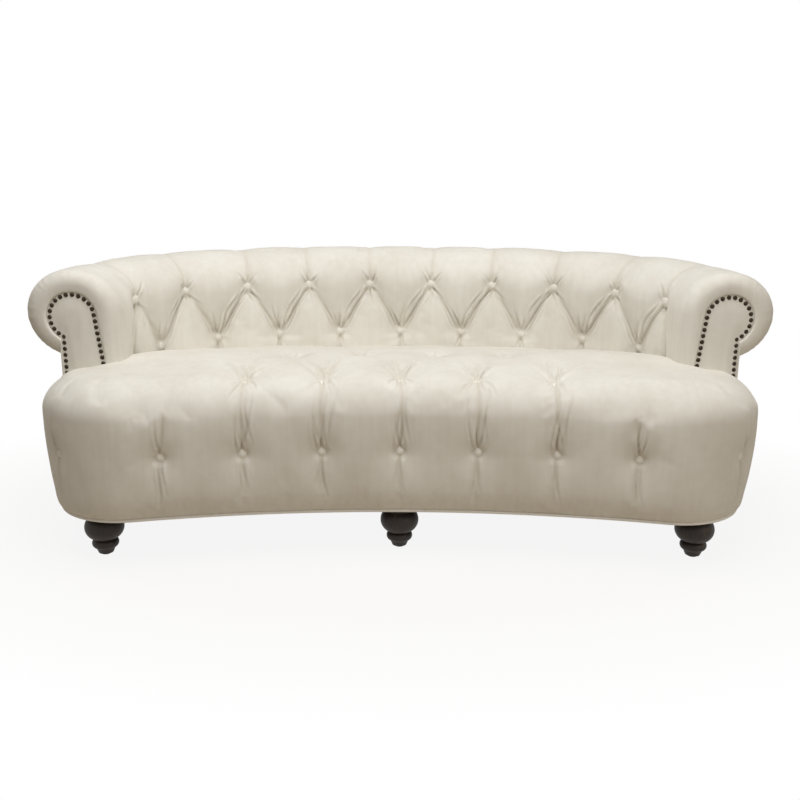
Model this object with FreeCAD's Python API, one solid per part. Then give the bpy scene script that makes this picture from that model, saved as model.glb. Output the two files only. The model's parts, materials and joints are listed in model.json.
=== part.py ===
import FreeCAD, Part
import math
import os

from FreeCAD import Vector

# Curved settee with a rolled, buttoned back and arms, a tight seat and turned feet.
# Millimetres. Origin on the floor under the middle of the outline, +Z up, front towards -Y.

# Overall sizes
overall_height = 724.0
overall_depth = 980.0
leg_height = 130.0
seat_height = 466.0

# Plan of the inside line, which is the front of the back's padding: a gentle arc, then tight corners
inner_half_width = 725.0
back_arc_radius = 1300.0
back_arc_half_width = 480.0
arm_straight = 2.0

# Section of the back and arms
roll_radius = 118.0
shell_offset = 162.0
tuck_rise = 40.0
front_edge_radius = 40.0
post_edge_radius = 8.0
arm_foot_depth = 86.0
arm_seam_heading = 65.0

# Seat
front_sag = 84.0
front_bulge = 28.0
seat_side_straight = 79.0
nose_depth = 85.0
nose_height = 81.0
apron_rise = 20.0
seat_level_depth = 306.0
seat_fall = 45.0

# Cloth, padding and gaps
cover_thickness = 2.0
foam_thickness = 42.0
backing_thickness = 2.0
clearance = 0.3
overrun = 1.0

# Button wells and buttons
well_radius = 34.0
well_floor_radius = 13.5
well_depth = 22.0
front_well_depth = 18.0
button_radius = 12.5
button_edge = 3.0
button_dome = 5.0
twine_radius = 0.8
back_button_pitch = 185.0
upper_row_rise = 12.0
upper_row_count = 5
lower_row_drop = 134.0
lower_row_count = 5
seat_button_pitch = 194.0
front_row_drop = 178.0
front_row_count = 4
corner_button_heading = 45.0
second_row_count = 3
third_row_count = 2
second_row_inset = 92.0
third_row_inset = 330.0

# Arm facings and nails
facing_shift = 4.0
facing_drop = 8.0
facing_margin = 13.0
facing_foot_offset = 30.0
facing_recess = 6.0
facing_thickness = 6.0
nail_inset = 8.0
nail_pitch = 16.0
nail_radius = 5.8
nail_dome = 3.6
nail_shank_radius = 1.1
nail_shank_length = 15.0
nail_inner_rise = 2.0
nail_outer_drop = 26.0

# Timber frame
rail_thickness = 25.0
rail_height = 120.0
neck_rail_height = 65.0
neck_rail_drop = 8.0
top_rail_width = 40.0
top_rail_depth = 24.0
spring_rail_height = 60.0
rib_thickness = 22.0
rib_headings = (8.0, 28.0, 65.0)
post_thickness = 25.0
cross_rail_x = 290.0
block_height = 60.0
block_reach = 72.0
centre_block_width = 120.0
centre_block_depth = 90.0
rear_block_width = 110.0
rear_block_depth = 70.0

# Suspension
spring_count = 7
spring_spacing = 150.0
spring_wire = 4.0
spring_leg = 26.0
spring_bend = 10.0
clip_thickness = 1.5
clip_width = 24.0
clip_length = 20.0
tie_wire = 3.0
tie_setbacks = (245.0, 425.0)
deck_thickness = 2.0
webbing_width = 50.0
webbing_count = 3
lining_drop = 61.0

# Piping and dust cover
welt_radius = 5.0
dust_thickness = 1.0
dust_inset = 12.0

# Feet
front_foot_inset = 153.0
front_foot_setback = 126.0
rear_foot_heading = 45.0
glide_height = 4.0
glide_radius = 14.0
foot_sole_radius = 19.0
foot_ankle_radius = 25.0
foot_ankle_height = 18.0
foot_bead_radius = 34.0
foot_bead_height = 29.0
foot_waist_radius = 26.0
foot_waist_height = 42.0
foot_bulb_radius = 50.0
foot_bulb_height = 77.0
foot_neck_radius = 37.0
foot_neck_height = 101.0
foot_collar_radius = 42.0
foot_collar_height = 110.0
bolt_radius = 5.0
bolt_depth = 45.0
bolt_rise = 42.0
insert_radius = 8.0
insert_length = 18.0
screw_radius = 2.5
screw_length = 60.0
screw_head_radius = 5.0
screw_head_depth = 3.0
rib_screw_rise = 90.0
rib_screw_spread = 5.5
block_screw_spread = 28.0

# How finely the rounded ends are sliced
arm_end_slices = 6
seat_slices = 5

# Values worked out from the sizes above
up = Vector(0, 0, 1)
base_z = leg_height
roll_z = overall_height - roll_radius
lining_low = roll_z - lining_drop
inside_y = overall_depth / 2 - 2 * roll_radius
back_angle = math.asin(back_arc_half_width / back_arc_radius)
corner_radius = (inner_half_width - back_arc_half_width) / (1 - math.sin(back_angle))
back_centre = Vector(0, inside_y - back_arc_radius, 0)
corner_shift = back_arc_radius - corner_radius
corner_centre = back_centre + Vector(math.sin(back_angle), math.cos(back_angle), 0) * corner_shift
seam_angle = math.radians(arm_seam_heading)
quarter = math.pi / 2
arm_start_y = corner_centre.y - arm_straight
arm_front_y = arm_start_y - front_edge_radius
post_edge_ratio = post_edge_radius / front_edge_radius
arm_foot_height = seat_height - arm_foot_depth
facing_centre_offset = roll_radius + facing_shift
facing_centre_height = roll_z - facing_drop
facing_radius = roll_radius - front_edge_radius - facing_margin
neck_z = roll_z - math.sqrt(roll_radius ** 2 - (shell_offset - roll_radius) ** 2)
frame_outer = shell_offset - cover_thickness - clearance
rail_inner = frame_outer - rail_thickness
frame_inner = cover_thickness + foam_thickness + backing_thickness
foam_back = cover_thickness + foam_thickness

seat_half_width = inner_half_width + shell_offset + front_bulge
seat_corner_radius = arm_start_y + overall_depth / 2 - seat_side_straight
seat_corner = Vector(seat_half_width - seat_corner_radius, seat_corner_radius - overall_depth / 2, 0)
front_y = front_sag - overall_depth / 2
front_lead = seat_corner.y - front_y
front_radius = (seat_corner.x ** 2 + front_lead ** 2 - seat_corner_radius ** 2) / (
    2 * (seat_corner_radius - front_lead))
front_centre = Vector(0, front_y - front_radius, 0)
front_turn = (seat_corner - front_centre).normalize()
bulge_z = seat_height - nose_height
rail_inset = front_bulge + cover_thickness + clearance
rail_top = base_z + rail_height
spring_z = rail_top + clip_thickness + clearance + spring_wire / 2
clip_top = spring_z + spring_wire / 2 + clearance + clip_thickness
deck_z = clip_top + clearance
foam_floor = deck_z + deck_thickness + clearance
tuck_height = foam_floor + tuck_rise
front_button_z = seat_height - front_row_drop
nail_ball = (nail_radius ** 2 + nail_dome ** 2) / (2 * nail_dome)


def mirrored(shape):
    """The same piece on the left-hand side."""
    return shape.mirror(Vector(0, 0, 0), Vector(1, 0, 0))


def join(shapes):
    """One solid from pieces that share faces."""
    whole = shapes[0].fuse(shapes[1:])
    return whole.removeSplitter()


def largest(shape):
    """The biggest solid of a shape that a cut has left in pieces."""
    return max(shape.Solids, key=lambda solid: solid.Volume)


def carved(shape, cutters):
    """Shape with the cutters taken out of it one after another."""
    for cutter in cutters:
        shape = shape.cut(cutter)
    return shape


def group(shapes):
    """Separate solids kept in one node."""
    return Part.makeCompound(shapes)


def save(name, shape):
    """Write one node."""
    shape.exportStep(os.path.join("parts", name + ".step"))


def save_pair(name, right_shape):
    """Write a right-hand piece and its left-hand twin."""
    save(name + "_right", right_shape)
    save(name + "_left", mirrored(right_shape))


def save_twins(name, right_shape):
    """Write a right-hand piece and its left-hand twin in one node."""
    save(name, group([right_shape, mirrored(right_shape)]))


def line(start, end):
    """Straight edge."""
    return Part.makeLine(start, end)


def arc(start, middle, end):
    """Edge on a circle through three points."""
    return Part.Arc(start, middle, end).toShape()


def on_circle(centre, radius, heading):
    """Point on a plan circle, where heading 0 is straight back and 90 degrees is to the right."""
    return centre + Vector(math.sin(heading), math.cos(heading), 0) * radius


def plan_arc(centre, radius, start, end):
    """Edge on a plan circle between two headings."""
    headings = (start, (start + end) / 2, end)
    return arc(*[on_circle(centre, radius, heading) for heading in headings])


def heading_at(distance):
    """Heading of the inside line at a distance along it from the centre plane."""
    back_length = back_arc_radius * back_angle
    if distance <= back_length:
        return distance / back_arc_radius
    return back_angle + (distance - back_length) / corner_radius


def line_point(heading, offset, height):
    """Point at an offset behind the inside line, on the right half."""
    if heading <= back_angle:
        return on_circle(back_centre, back_arc_radius + offset, heading) + up * height
    return on_circle(corner_centre, corner_radius + offset, heading) + up * height


def outward(heading):
    """Direction square to the inside line, away from the sitter."""
    return Vector(math.sin(heading), math.cos(heading), 0)


def aimed(shape, position, direction):
    """Move a shape made along +Z from the origin so that it points along a direction at a position."""
    turned = shape.copy()
    turned.Placement = FreeCAD.Placement(position, FreeCAD.Rotation(up, direction))
    return turned


# Sections are drawn square to the inside line: Y is the offset behind it, Z is the height

def section_box(inner, outer, low, high):
    """Rectangular section."""
    corners = [Vector(0, inner, low), Vector(0, outer, low), Vector(0, outer, high), Vector(0, inner, high)]
    return Part.Face(Part.makePolygon(corners + corners[:1]))


def roll_wire(inner, outer, foot):
    """Outline of the back: up the inside, over the roll, under it and down the outside."""
    radius = roll_radius - inner
    dip = math.acos((outer - roll_radius) / radius)
    middle = (math.pi - dip) / 2
    neck = roll_z - radius * math.sin(dip)
    top = Vector(0, roll_radius + radius * math.cos(middle), roll_z + radius * math.sin(middle))
    low_inner = Vector(0, inner, foot)
    high_inner = Vector(0, inner, roll_z)
    high_outer = Vector(0, outer, neck)
    low_outer = Vector(0, outer, foot)
    return Part.Wire([line(low_inner, high_inner), arc(high_inner, top, high_outer),
                      line(high_outer, low_outer), line(low_outer, low_inner)])


def roll_face(inner, outer, foot):
    """Filled outline of the back."""
    return Part.Face(roll_wire(inner, outer, foot))


def along_arc(section, centre, radius, start, end):
    """Sweep a section round a plan circle between two headings."""
    placed = section.copy()
    placed.translate(centre + Vector(0, radius, 0))
    placed.rotate(centre, up, -math.degrees(end))
    return placed.revolve(centre, up, math.degrees(end - start))


def along_corner(section, start, end):
    """Sweep a section round the right-hand corner."""
    return along_arc(section, corner_centre, corner_radius, start, end)


def along_back(section, end):
    """Sweep a section from one side to the other, as far as a heading in the corners."""
    middle = along_arc(section, back_centre, back_arc_radius, -back_angle, back_angle)
    side = along_corner(section, back_angle, end)
    return join([middle, side, mirrored(side)])


def across_arm(section, y):
    """Place a section in the plane across the front of the right-hand arm."""
    placed = section.copy()
    placed.rotate(Vector(0, 0, 0), up, -90)
    placed.translate(Vector(inner_half_width, y, 0))
    return placed


def along_arm(section, start, length):
    """Sweep a section round the corner from a heading and straight on towards the front."""
    straight = across_arm(section, corner_centre.y).extrude(Vector(0, -length, 0))
    return join([along_corner(section, start, quarter), straight])


def arm_end(skin, foot):
    """Rounded front end of the right-hand arm, drawn in by a skin."""
    wires = []
    for step in range(arm_end_slices + 1):
        turn = quarter * step / arm_end_slices
        inset = skin + front_edge_radius * (1 - math.cos(turn))
        outer = shell_offset - skin - (inset - skin) * post_edge_ratio
        y = arm_start_y - (front_edge_radius - skin) * math.sin(turn)
        wires.append(across_arm(roll_wire(inset, outer, foot), y))
    return Part.makeLoft(wires, True, True)


def facing_wire(inset, foot):
    """Outline of the arm facing, drawn in by an inset, with a tangent from its inner foot to its head."""
    radius = facing_radius - inset
    foot_point = Vector(0, facing_foot_offset + inset, foot)
    head = Vector(0, facing_centre_offset, facing_centre_height)
    outer = shell_offset - post_edge_radius - inset
    reach = head - foot_point
    lean = math.atan2(reach.z, reach.y) + math.asin(radius / reach.Length)
    touch = foot_point + Vector(0, math.cos(lean), math.sin(lean)) * math.sqrt(reach.Length ** 2 - radius ** 2)
    dip = math.acos((outer - facing_centre_offset) / radius)
    shoulder = Vector(0, outer, facing_centre_height - radius * math.sin(dip))
    crown = (lean + quarter - dip) / 2
    top = head + Vector(0, math.cos(crown), math.sin(crown)) * radius
    outer_foot = Vector(0, outer, foot)
    return Part.Wire([line(foot_point, touch), arc(touch, top, shoulder),
                      line(shoulder, outer_foot), line(outer_foot, foot_point)])


def facing_slab(inset, front, back, foot):
    """Board with the facing's outline between two planes across the arm."""
    face = across_arm(Part.Face(facing_wire(inset, foot)), front)
    return face.extrude(Vector(0, back - front, 0))


# Outlines in plan

def seat_wire(inset, back_gap, ear_y, z):
    """Outline of the seat: concave front, round corners, ears before the arms, then the inside line."""
    front_right = front_centre + front_turn * (front_radius + inset)
    front_left = Vector(-front_right.x, front_right.y, 0)
    front_middle = Vector(0, front_y + inset, 0)
    side_x = seat_half_width - inset
    side = Vector(side_x, seat_corner.y, 0)
    bend = (Vector(1, 0, 0) - front_turn).normalize()
    bend_point = seat_corner + bend * (seat_corner_radius - inset)
    ear = Vector(side_x, ear_y, 0)
    inner_x = inner_half_width - back_gap
    inner_ear = Vector(inner_x, ear_y, 0)
    inner_turn = Vector(inner_x, corner_centre.y, 0)
    right = [arc(front_right, bend_point, side), line(side, ear), line(ear, inner_ear),
             line(inner_ear, inner_turn),
             plan_arc(corner_centre, corner_radius - back_gap, quarter, back_angle)]
    back = plan_arc(back_centre, back_arc_radius - back_gap, back_angle, -back_angle)
    left = [mirrored(edge) for edge in reversed(right)]
    wire = Part.Wire(Part.__sortEdges__([arc(front_left, front_middle, front_right)] + right + [back] + left))
    wire.translate(up * z)
    return wire


def base_wire(inset, z):
    """Outline of the bottom edge: the seat front, the sides and round the back."""
    front_inset = front_bulge + inset
    front_right = front_centre + front_turn * (front_radius + front_inset)
    front_left = Vector(-front_right.x, front_right.y, 0)
    front_middle = Vector(0, front_y + front_inset, 0)
    side_x = seat_half_width - front_inset
    side = Vector(side_x, seat_corner.y, 0)
    bend = (Vector(1, 0, 0) - front_turn).normalize()
    bend_point = seat_corner + bend * (seat_corner_radius - front_inset)
    turn = Vector(side_x, corner_centre.y, 0)
    right = [arc(front_right, bend_point, side), line(side, turn),
             plan_arc(corner_centre, corner_radius + shell_offset - inset, quarter, back_angle)]
    back = plan_arc(back_centre, back_arc_radius + shell_offset - inset, back_angle, -back_angle)
    left = [mirrored(edge) for edge in reversed(right)]
    wire = Part.Wire(Part.__sortEdges__([arc(front_left, front_middle, front_right)] + right + [back] + left))
    wire.translate(up * z)
    return wire


def seat_slope(skin):
    """Cutter for the back part of the seat's top, which falls towards the back."""
    top = seat_height - skin
    start_y = front_y + seat_level_depth
    end_y = max(inside_y, start_y) + overrun
    corners = [Vector(-seat_half_width, start_y, top), Vector(-seat_half_width, end_y, top - seat_fall),
               Vector(-seat_half_width, end_y, top + overrun), Vector(-seat_half_width, start_y, top + overrun)]
    face = Part.Face(Part.makePolygon(corners + corners[:1]))
    return face.extrude(Vector(2 * seat_half_width, 0, 0))


def seat_body(skin, back_gap):
    """The seat's soft form, drawn in by a skin: a bulging front, a rounded nose and a top that falls back."""
    ear_y = arm_start_y
    wires = []
    for step in range(seat_slices):
        turn = quarter * step / seat_slices
        inset = front_bulge * (1 - math.sin(turn)) + skin
        wires.append(seat_wire(inset, back_gap, ear_y, bulge_z - (bulge_z - base_z) * math.cos(turn)))
    for step in range(seat_slices + 1):
        turn = quarter * step / seat_slices
        inset = nose_depth * (1 - math.cos(turn)) + skin * math.cos(turn)
        wires.append(seat_wire(inset, back_gap, ear_y, bulge_z + (nose_height - skin) * math.sin(turn)))
    return Part.makeLoft(wires, True, True).cut(seat_slope(skin))


# Button wells: a cone into the padding with a flat floor and a hole for the twine

def well(position, inward, depth, skin, twine_length):
    """Cutter for one button well, with its mouth at a position and its floor along the inward direction."""
    flare = well_radius - well_floor_radius
    cone = Part.makeCone(well_radius + skin + flare, well_floor_radius + skin, 2 * depth + skin)
    hole = Part.makeCylinder(twine_radius, 2 * depth + twine_length)
    return aimed(cone.fuse(hole), position - inward * depth, inward)


def button(position, inward, depth):
    """Cloth-covered button on the floor of a well."""
    disc = Part.makeCylinder(button_radius, button_edge)
    ball_radius = (button_radius ** 2 + button_dome ** 2) / (2 * button_dome)
    ball = Part.makeSphere(ball_radius, Vector(0, 0, button_edge + button_dome - ball_radius))
    post = Part.makeCylinder(button_radius, button_edge + button_dome)
    dome = ball.common(post)
    return aimed(disc.fuse(dome).removeSplitter(), position + inward * depth, inward * -1)


def twine(position, inward, depth, length):
    """Twine from a button's back to the lining behind the padding."""
    return aimed(Part.makeCylinder(twine_radius, length), position + inward * depth, inward)


def back_row(first, count, height, low_heading, high_heading):
    """Well places of one row on the right half: position, inward direction and depth."""
    places = []
    for index in range(count):
        heading = heading_at((first + index) * back_button_pitch)
        if low_heading <= heading < high_heading:
            places.append((line_point(heading, 0, height), outward(heading), well_depth))
    return places


def twin_of(place):
    """The same place on the other side."""
    spot, way, depth = place
    return Vector(-spot.x, spot.y, spot.z), Vector(-way.x, way.y, way.z), depth


def both_sides(places):
    """Add the left-hand twin of each place that is off the centre plane."""
    return places + [twin_of(place) for place in places if place[0].x > overrun]


def front_place(x, inset, z):
    """Point on the seat front's concave arc, and the direction into the seat."""
    angle = math.asin(x / (front_radius + inset))
    return on_circle(front_centre, front_radius + inset, angle) + up * z, outward(angle)


half_pitch = 1 / 2
upper_height = roll_z + upper_row_rise
upper_row = both_sides(back_row(half_pitch, upper_row_count, upper_height, 0, seam_angle))
lower_row = both_sides(back_row(0, lower_row_count, roll_z - lower_row_drop, 0, seam_angle))
arm_row = back_row(half_pitch, upper_row_count, upper_height, seam_angle, quarter)

front_fall = (bulge_z - front_button_z) / (bulge_z - base_z)
front_inset = front_bulge * (1 - math.sqrt(1 - front_fall ** 2))
corner_way = outward(math.pi - math.radians(corner_button_heading))
corner_spot = seat_corner + corner_way * (seat_corner_radius - front_inset) + up * front_button_z
front_row = [(corner_spot, corner_way * -1, front_well_depth)]
for index in range(front_row_count):
    front_row.append((*front_place(index * seat_button_pitch, front_inset, front_button_z), front_well_depth))
front_row = both_sides(front_row)
top_rows = []
for index in range(second_row_count):
    spot, _ = front_place(index * seat_button_pitch, second_row_inset, seat_height)
    top_rows.append((spot, up * -1, well_depth))
for index in range(third_row_count):
    spot, _ = front_place((index + half_pitch) * seat_button_pitch, third_row_inset, seat_height)
    top_rows.append((spot, up * -1, well_depth))
top_rows = both_sides(top_rows)

back_twine = foam_back - clearance - well_depth
front_twine = rail_inset - clearance - front_inset - front_well_depth
top_twine = seat_height - foam_floor - well_depth


def wells(places, skin, twine_length):
    """Cutters for a list of places."""
    cutters = []
    for place in places:
        if place[0].x < 0:
            cutters.append(mirrored(well(*twin_of(place), skin, twine_length)))
        else:
            cutters.append(well(*place, skin, twine_length))
    return cutters


# Covers and padding of the back and arms

def build_back_padding():
    """Inside back cover and foam, arm covers and foams, with their buttons."""
    outside = section_box(shell_offset - cover_thickness, overall_depth, 0, neck_z)
    skin_face = roll_face(0, shell_offset, tuck_height)
    under_face = roll_face(cover_thickness, shell_offset - cover_thickness, 0)
    cover_face = skin_face.cut(under_face.fuse(outside))
    foam_edge = cover_thickness + clearance
    foam_face = roll_face(foam_edge, shell_offset - foam_edge, tuck_height)
    core_face = roll_face(foam_back - clearance, frame_outer, 0)
    foam_face = foam_face.cut(core_face.fuse(outside))
    lining_face = roll_face(cover_thickness, shell_offset, tuck_height - overrun)

    back_places = upper_row + lower_row
    back_shell = along_back(cover_face, seam_angle)
    back_lining = along_back(lining_face, seam_angle)
    back_foam = along_back(foam_face, seam_angle)
    save("inside_back_cover", pocketed(back_shell, back_lining, back_places, back_twine))
    save("back_foam", back_foam.cut(wells(back_places, foam_edge, back_twine)))

    prism = facing_slab(-clearance, arm_front_y - overrun, arm_start_y, arm_foot_height - overrun)
    end_shell = arm_end(0, arm_foot_height).cut([arm_end(cover_thickness, arm_foot_height - overrun), prism])
    end_foam = arm_end(foam_edge, arm_foot_height).cut(prism)
    arm_shell = along_arm(cover_face, seam_angle, arm_straight)
    arm_lining = along_arm(lining_face, seam_angle, arm_straight)
    arm_foam = along_arm(foam_face, seam_angle, arm_straight)
    arm_cover = pocketed(arm_shell, arm_lining, arm_row, back_twine)
    save_pair("inside_arm_cover", join([arm_cover, end_shell]))
    arm_foam = arm_foam.cut(wells(arm_row, foam_edge, back_twine))
    save_pair("arm_foam", join([arm_foam, end_foam]))

    save("back_buttons_upper", group([button(*place) for place in upper_row]))
    save("back_buttons_lower", group([button(*place) for place in lower_row]))
    save("arm_buttons", group([button(*place) for place in both_sides(arm_row)]))
    all_back = back_places + both_sides(arm_row)
    save("back_button_twine", group([twine(*place, back_twine) for place in all_back]))


def pocketed(shell, lining, places, twine_length):
    """A cover with a pocket drawn into the padding at each button."""
    cups = wells(places, cover_thickness, twine_length)
    bores = wells(places, 0, twine_length)
    pockets = Part.makeCompound(cups).common(lining)
    return carved(shell.fuse(pockets), bores).removeSplitter()


def build_outside_covers():
    """Flat cloth over the outside of the back and arms, below the roll."""
    section = section_box(shell_offset - cover_thickness, shell_offset, base_z, neck_z)
    save("outside_back_cover", along_back(section, seam_angle))
    save_pair("outside_arm_cover", along_arm(section, seam_angle, arm_straight))


def build_facings():
    """Arm facing panels with the blocks behind them and the nails round their edge."""
    panel_front = arm_front_y + facing_recess
    panel_back = panel_front + facing_thickness
    edges = across_arm(facing_wire(nail_inset, arm_foot_height), panel_front).Edges
    head = Part.makeSphere(nail_ball, Vector(0, 0, nail_dome - nail_ball))
    head = head.common(Part.makeCylinder(nail_radius, nail_dome))
    shank = Part.makeCylinder(nail_shank_radius, nail_shank_length, Vector(0, 0, -nail_shank_length))
    nail = head.fuse(shank)
    nails = []
    shanks = []
    centre_x = inner_half_width + facing_centre_offset
    for point in Part.Wire(edges[:3]).discretize(Distance=nail_pitch):
        lowest = seat_height + nail_inner_rise if point.x < centre_x else seat_height - nail_outer_drop
        if point.z >= lowest:
            nails.append(aimed(nail, point, Vector(0, -1, 0)))
            shanks.append(aimed(shank, point, Vector(0, -1, 0)))
    panel = facing_slab(0, panel_front, panel_back, arm_foot_height)
    block = facing_slab(0, panel_back, arm_start_y, arm_foot_height)
    save_pair("arm_facing_panel", panel.cut(shanks))
    save_twins("arm_facing_blocks", block.cut(shanks))
    save_pair("arm_nails", group(nails))


def seat_wells(skin):
    """Cutters for all the wells in the seat."""
    return wells(front_row, skin, front_twine) + wells(top_rows, skin, top_twine)


def build_seat():
    """Seat cover and foam with their buttons."""
    arm_room = arm_end(-clearance, arm_foot_height - clearance)
    rooms = [arm_room, mirrored(arm_room)]
    shell = seat_body(0, clearance).cut(seat_body(cover_thickness, clearance - overrun))
    pockets = Part.makeCompound(seat_wells(cover_thickness)).common(seat_body(cover_thickness, clearance))
    cover = carved(shell.fuse(pockets), seat_wells(0) + rooms)
    save("seat_cover", largest(cover.removeSplitter()))

    foam_edge = cover_thickness + clearance
    hollow_wire = seat_wire(rail_inset, clearance - overrun, arm_start_y, base_z - overrun)
    hollow = Part.Face(hollow_wire).extrude(up * (foam_floor - base_z + overrun))
    reach = 2 * seat_half_width
    below = Part.makeBox(reach, reach, base_z + apron_rise, Vector(-reach / 2, -reach / 2, 0))
    foam = carved(seat_body(foam_edge, clearance), [hollow, below] + seat_wells(foam_edge) + rooms)
    save("seat_foam", largest(foam.removeSplitter()))

    save("seat_buttons_front", group([button(*place) for place in front_row]))
    save("seat_buttons_top", group([button(*place) for place in top_rows]))
    strings = [twine(*place, front_twine) for place in front_row]
    strings += [twine(*place, top_twine) for place in top_rows]
    save("seat_button_twine", group(strings))


# Timber frame

def upright_slab(section, heading, width):
    """Board with a section's outline, standing square to the inside line at a heading."""
    placed = section.copy()
    placed.rotate(Vector(0, 0, 0), up, -math.degrees(heading))
    along = Vector(math.cos(heading), -math.sin(heading), 0)
    placed.translate(line_point(heading, 0, 0) - along * (width / 2))
    return placed.extrude(along * width)


def screw(position, direction):
    """Countersunk wood screw with its head at a position, driven along a direction."""
    shank = Part.makeCylinder(screw_radius, screw_length)
    head = Part.makeCone(screw_head_radius, screw_radius, screw_head_depth)
    return aimed(shank.fuse(head), position, direction)


def rail_screws(heading, height, spread):
    """Two screws side by side, driven through the outside of a rail towards the sitter."""
    bend = back_arc_radius if heading <= back_angle else corner_radius
    turn = spread / (bend + frame_outer)
    sides = (heading - turn, heading + turn)
    return [screw(line_point(side, frame_outer, height), outward(side) * -1) for side in sides]


def foot_places():
    """Foot positions on the floor by name."""
    rear_heading = math.radians(rear_foot_heading)
    front = Vector(seat_half_width - front_foot_inset, front_foot_setback - overall_depth / 2, 0)
    middle_y = front_y + rail_inset + rail_thickness + centre_block_depth / 2
    rear_offset = rail_inner - rear_block_depth / 2
    rear = line_point(rear_heading, rear_offset, 0)
    return {"front_right": front, "front_left": Vector(-front.x, front.y, 0),
            "front_centre": Vector(0, middle_y, 0),
            "rear_right": rear, "rear_left": Vector(-rear.x, rear.y, 0),
            "rear_centre": line_point(0, rear_offset, 0)}


def corner_block():
    """Right-hand front corner block, rounded under the seat's corner."""
    radius = seat_corner_radius - rail_inset
    left_x = seat_corner.x - block_reach
    right_x = seat_corner.x + radius
    back_y = seat_corner.y + block_reach
    edge_y = seat_corner.y - radius
    bend = seat_corner + Vector(1, -1, 0).normalize() * radius
    wire = Part.Wire([
        line(Vector(left_x, edge_y, 0), Vector(left_x, back_y, 0)),
        line(Vector(left_x, back_y, 0), Vector(right_x, back_y, 0)),
        line(Vector(right_x, back_y, 0), Vector(right_x, seat_corner.y, 0)),
        arc(Vector(right_x, seat_corner.y, 0), bend, Vector(seat_corner.x, edge_y, 0)),
        line(Vector(seat_corner.x, edge_y, 0), Vector(left_x, edge_y, 0))])
    block = Part.Face(wire).extrude(up * rail_height)
    block.translate(up * base_z)
    room = Part.Face(seat_wire(rail_inset, clearance, arm_start_y, base_z)).extrude(up * rail_height)
    return block.common(room)


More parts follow.
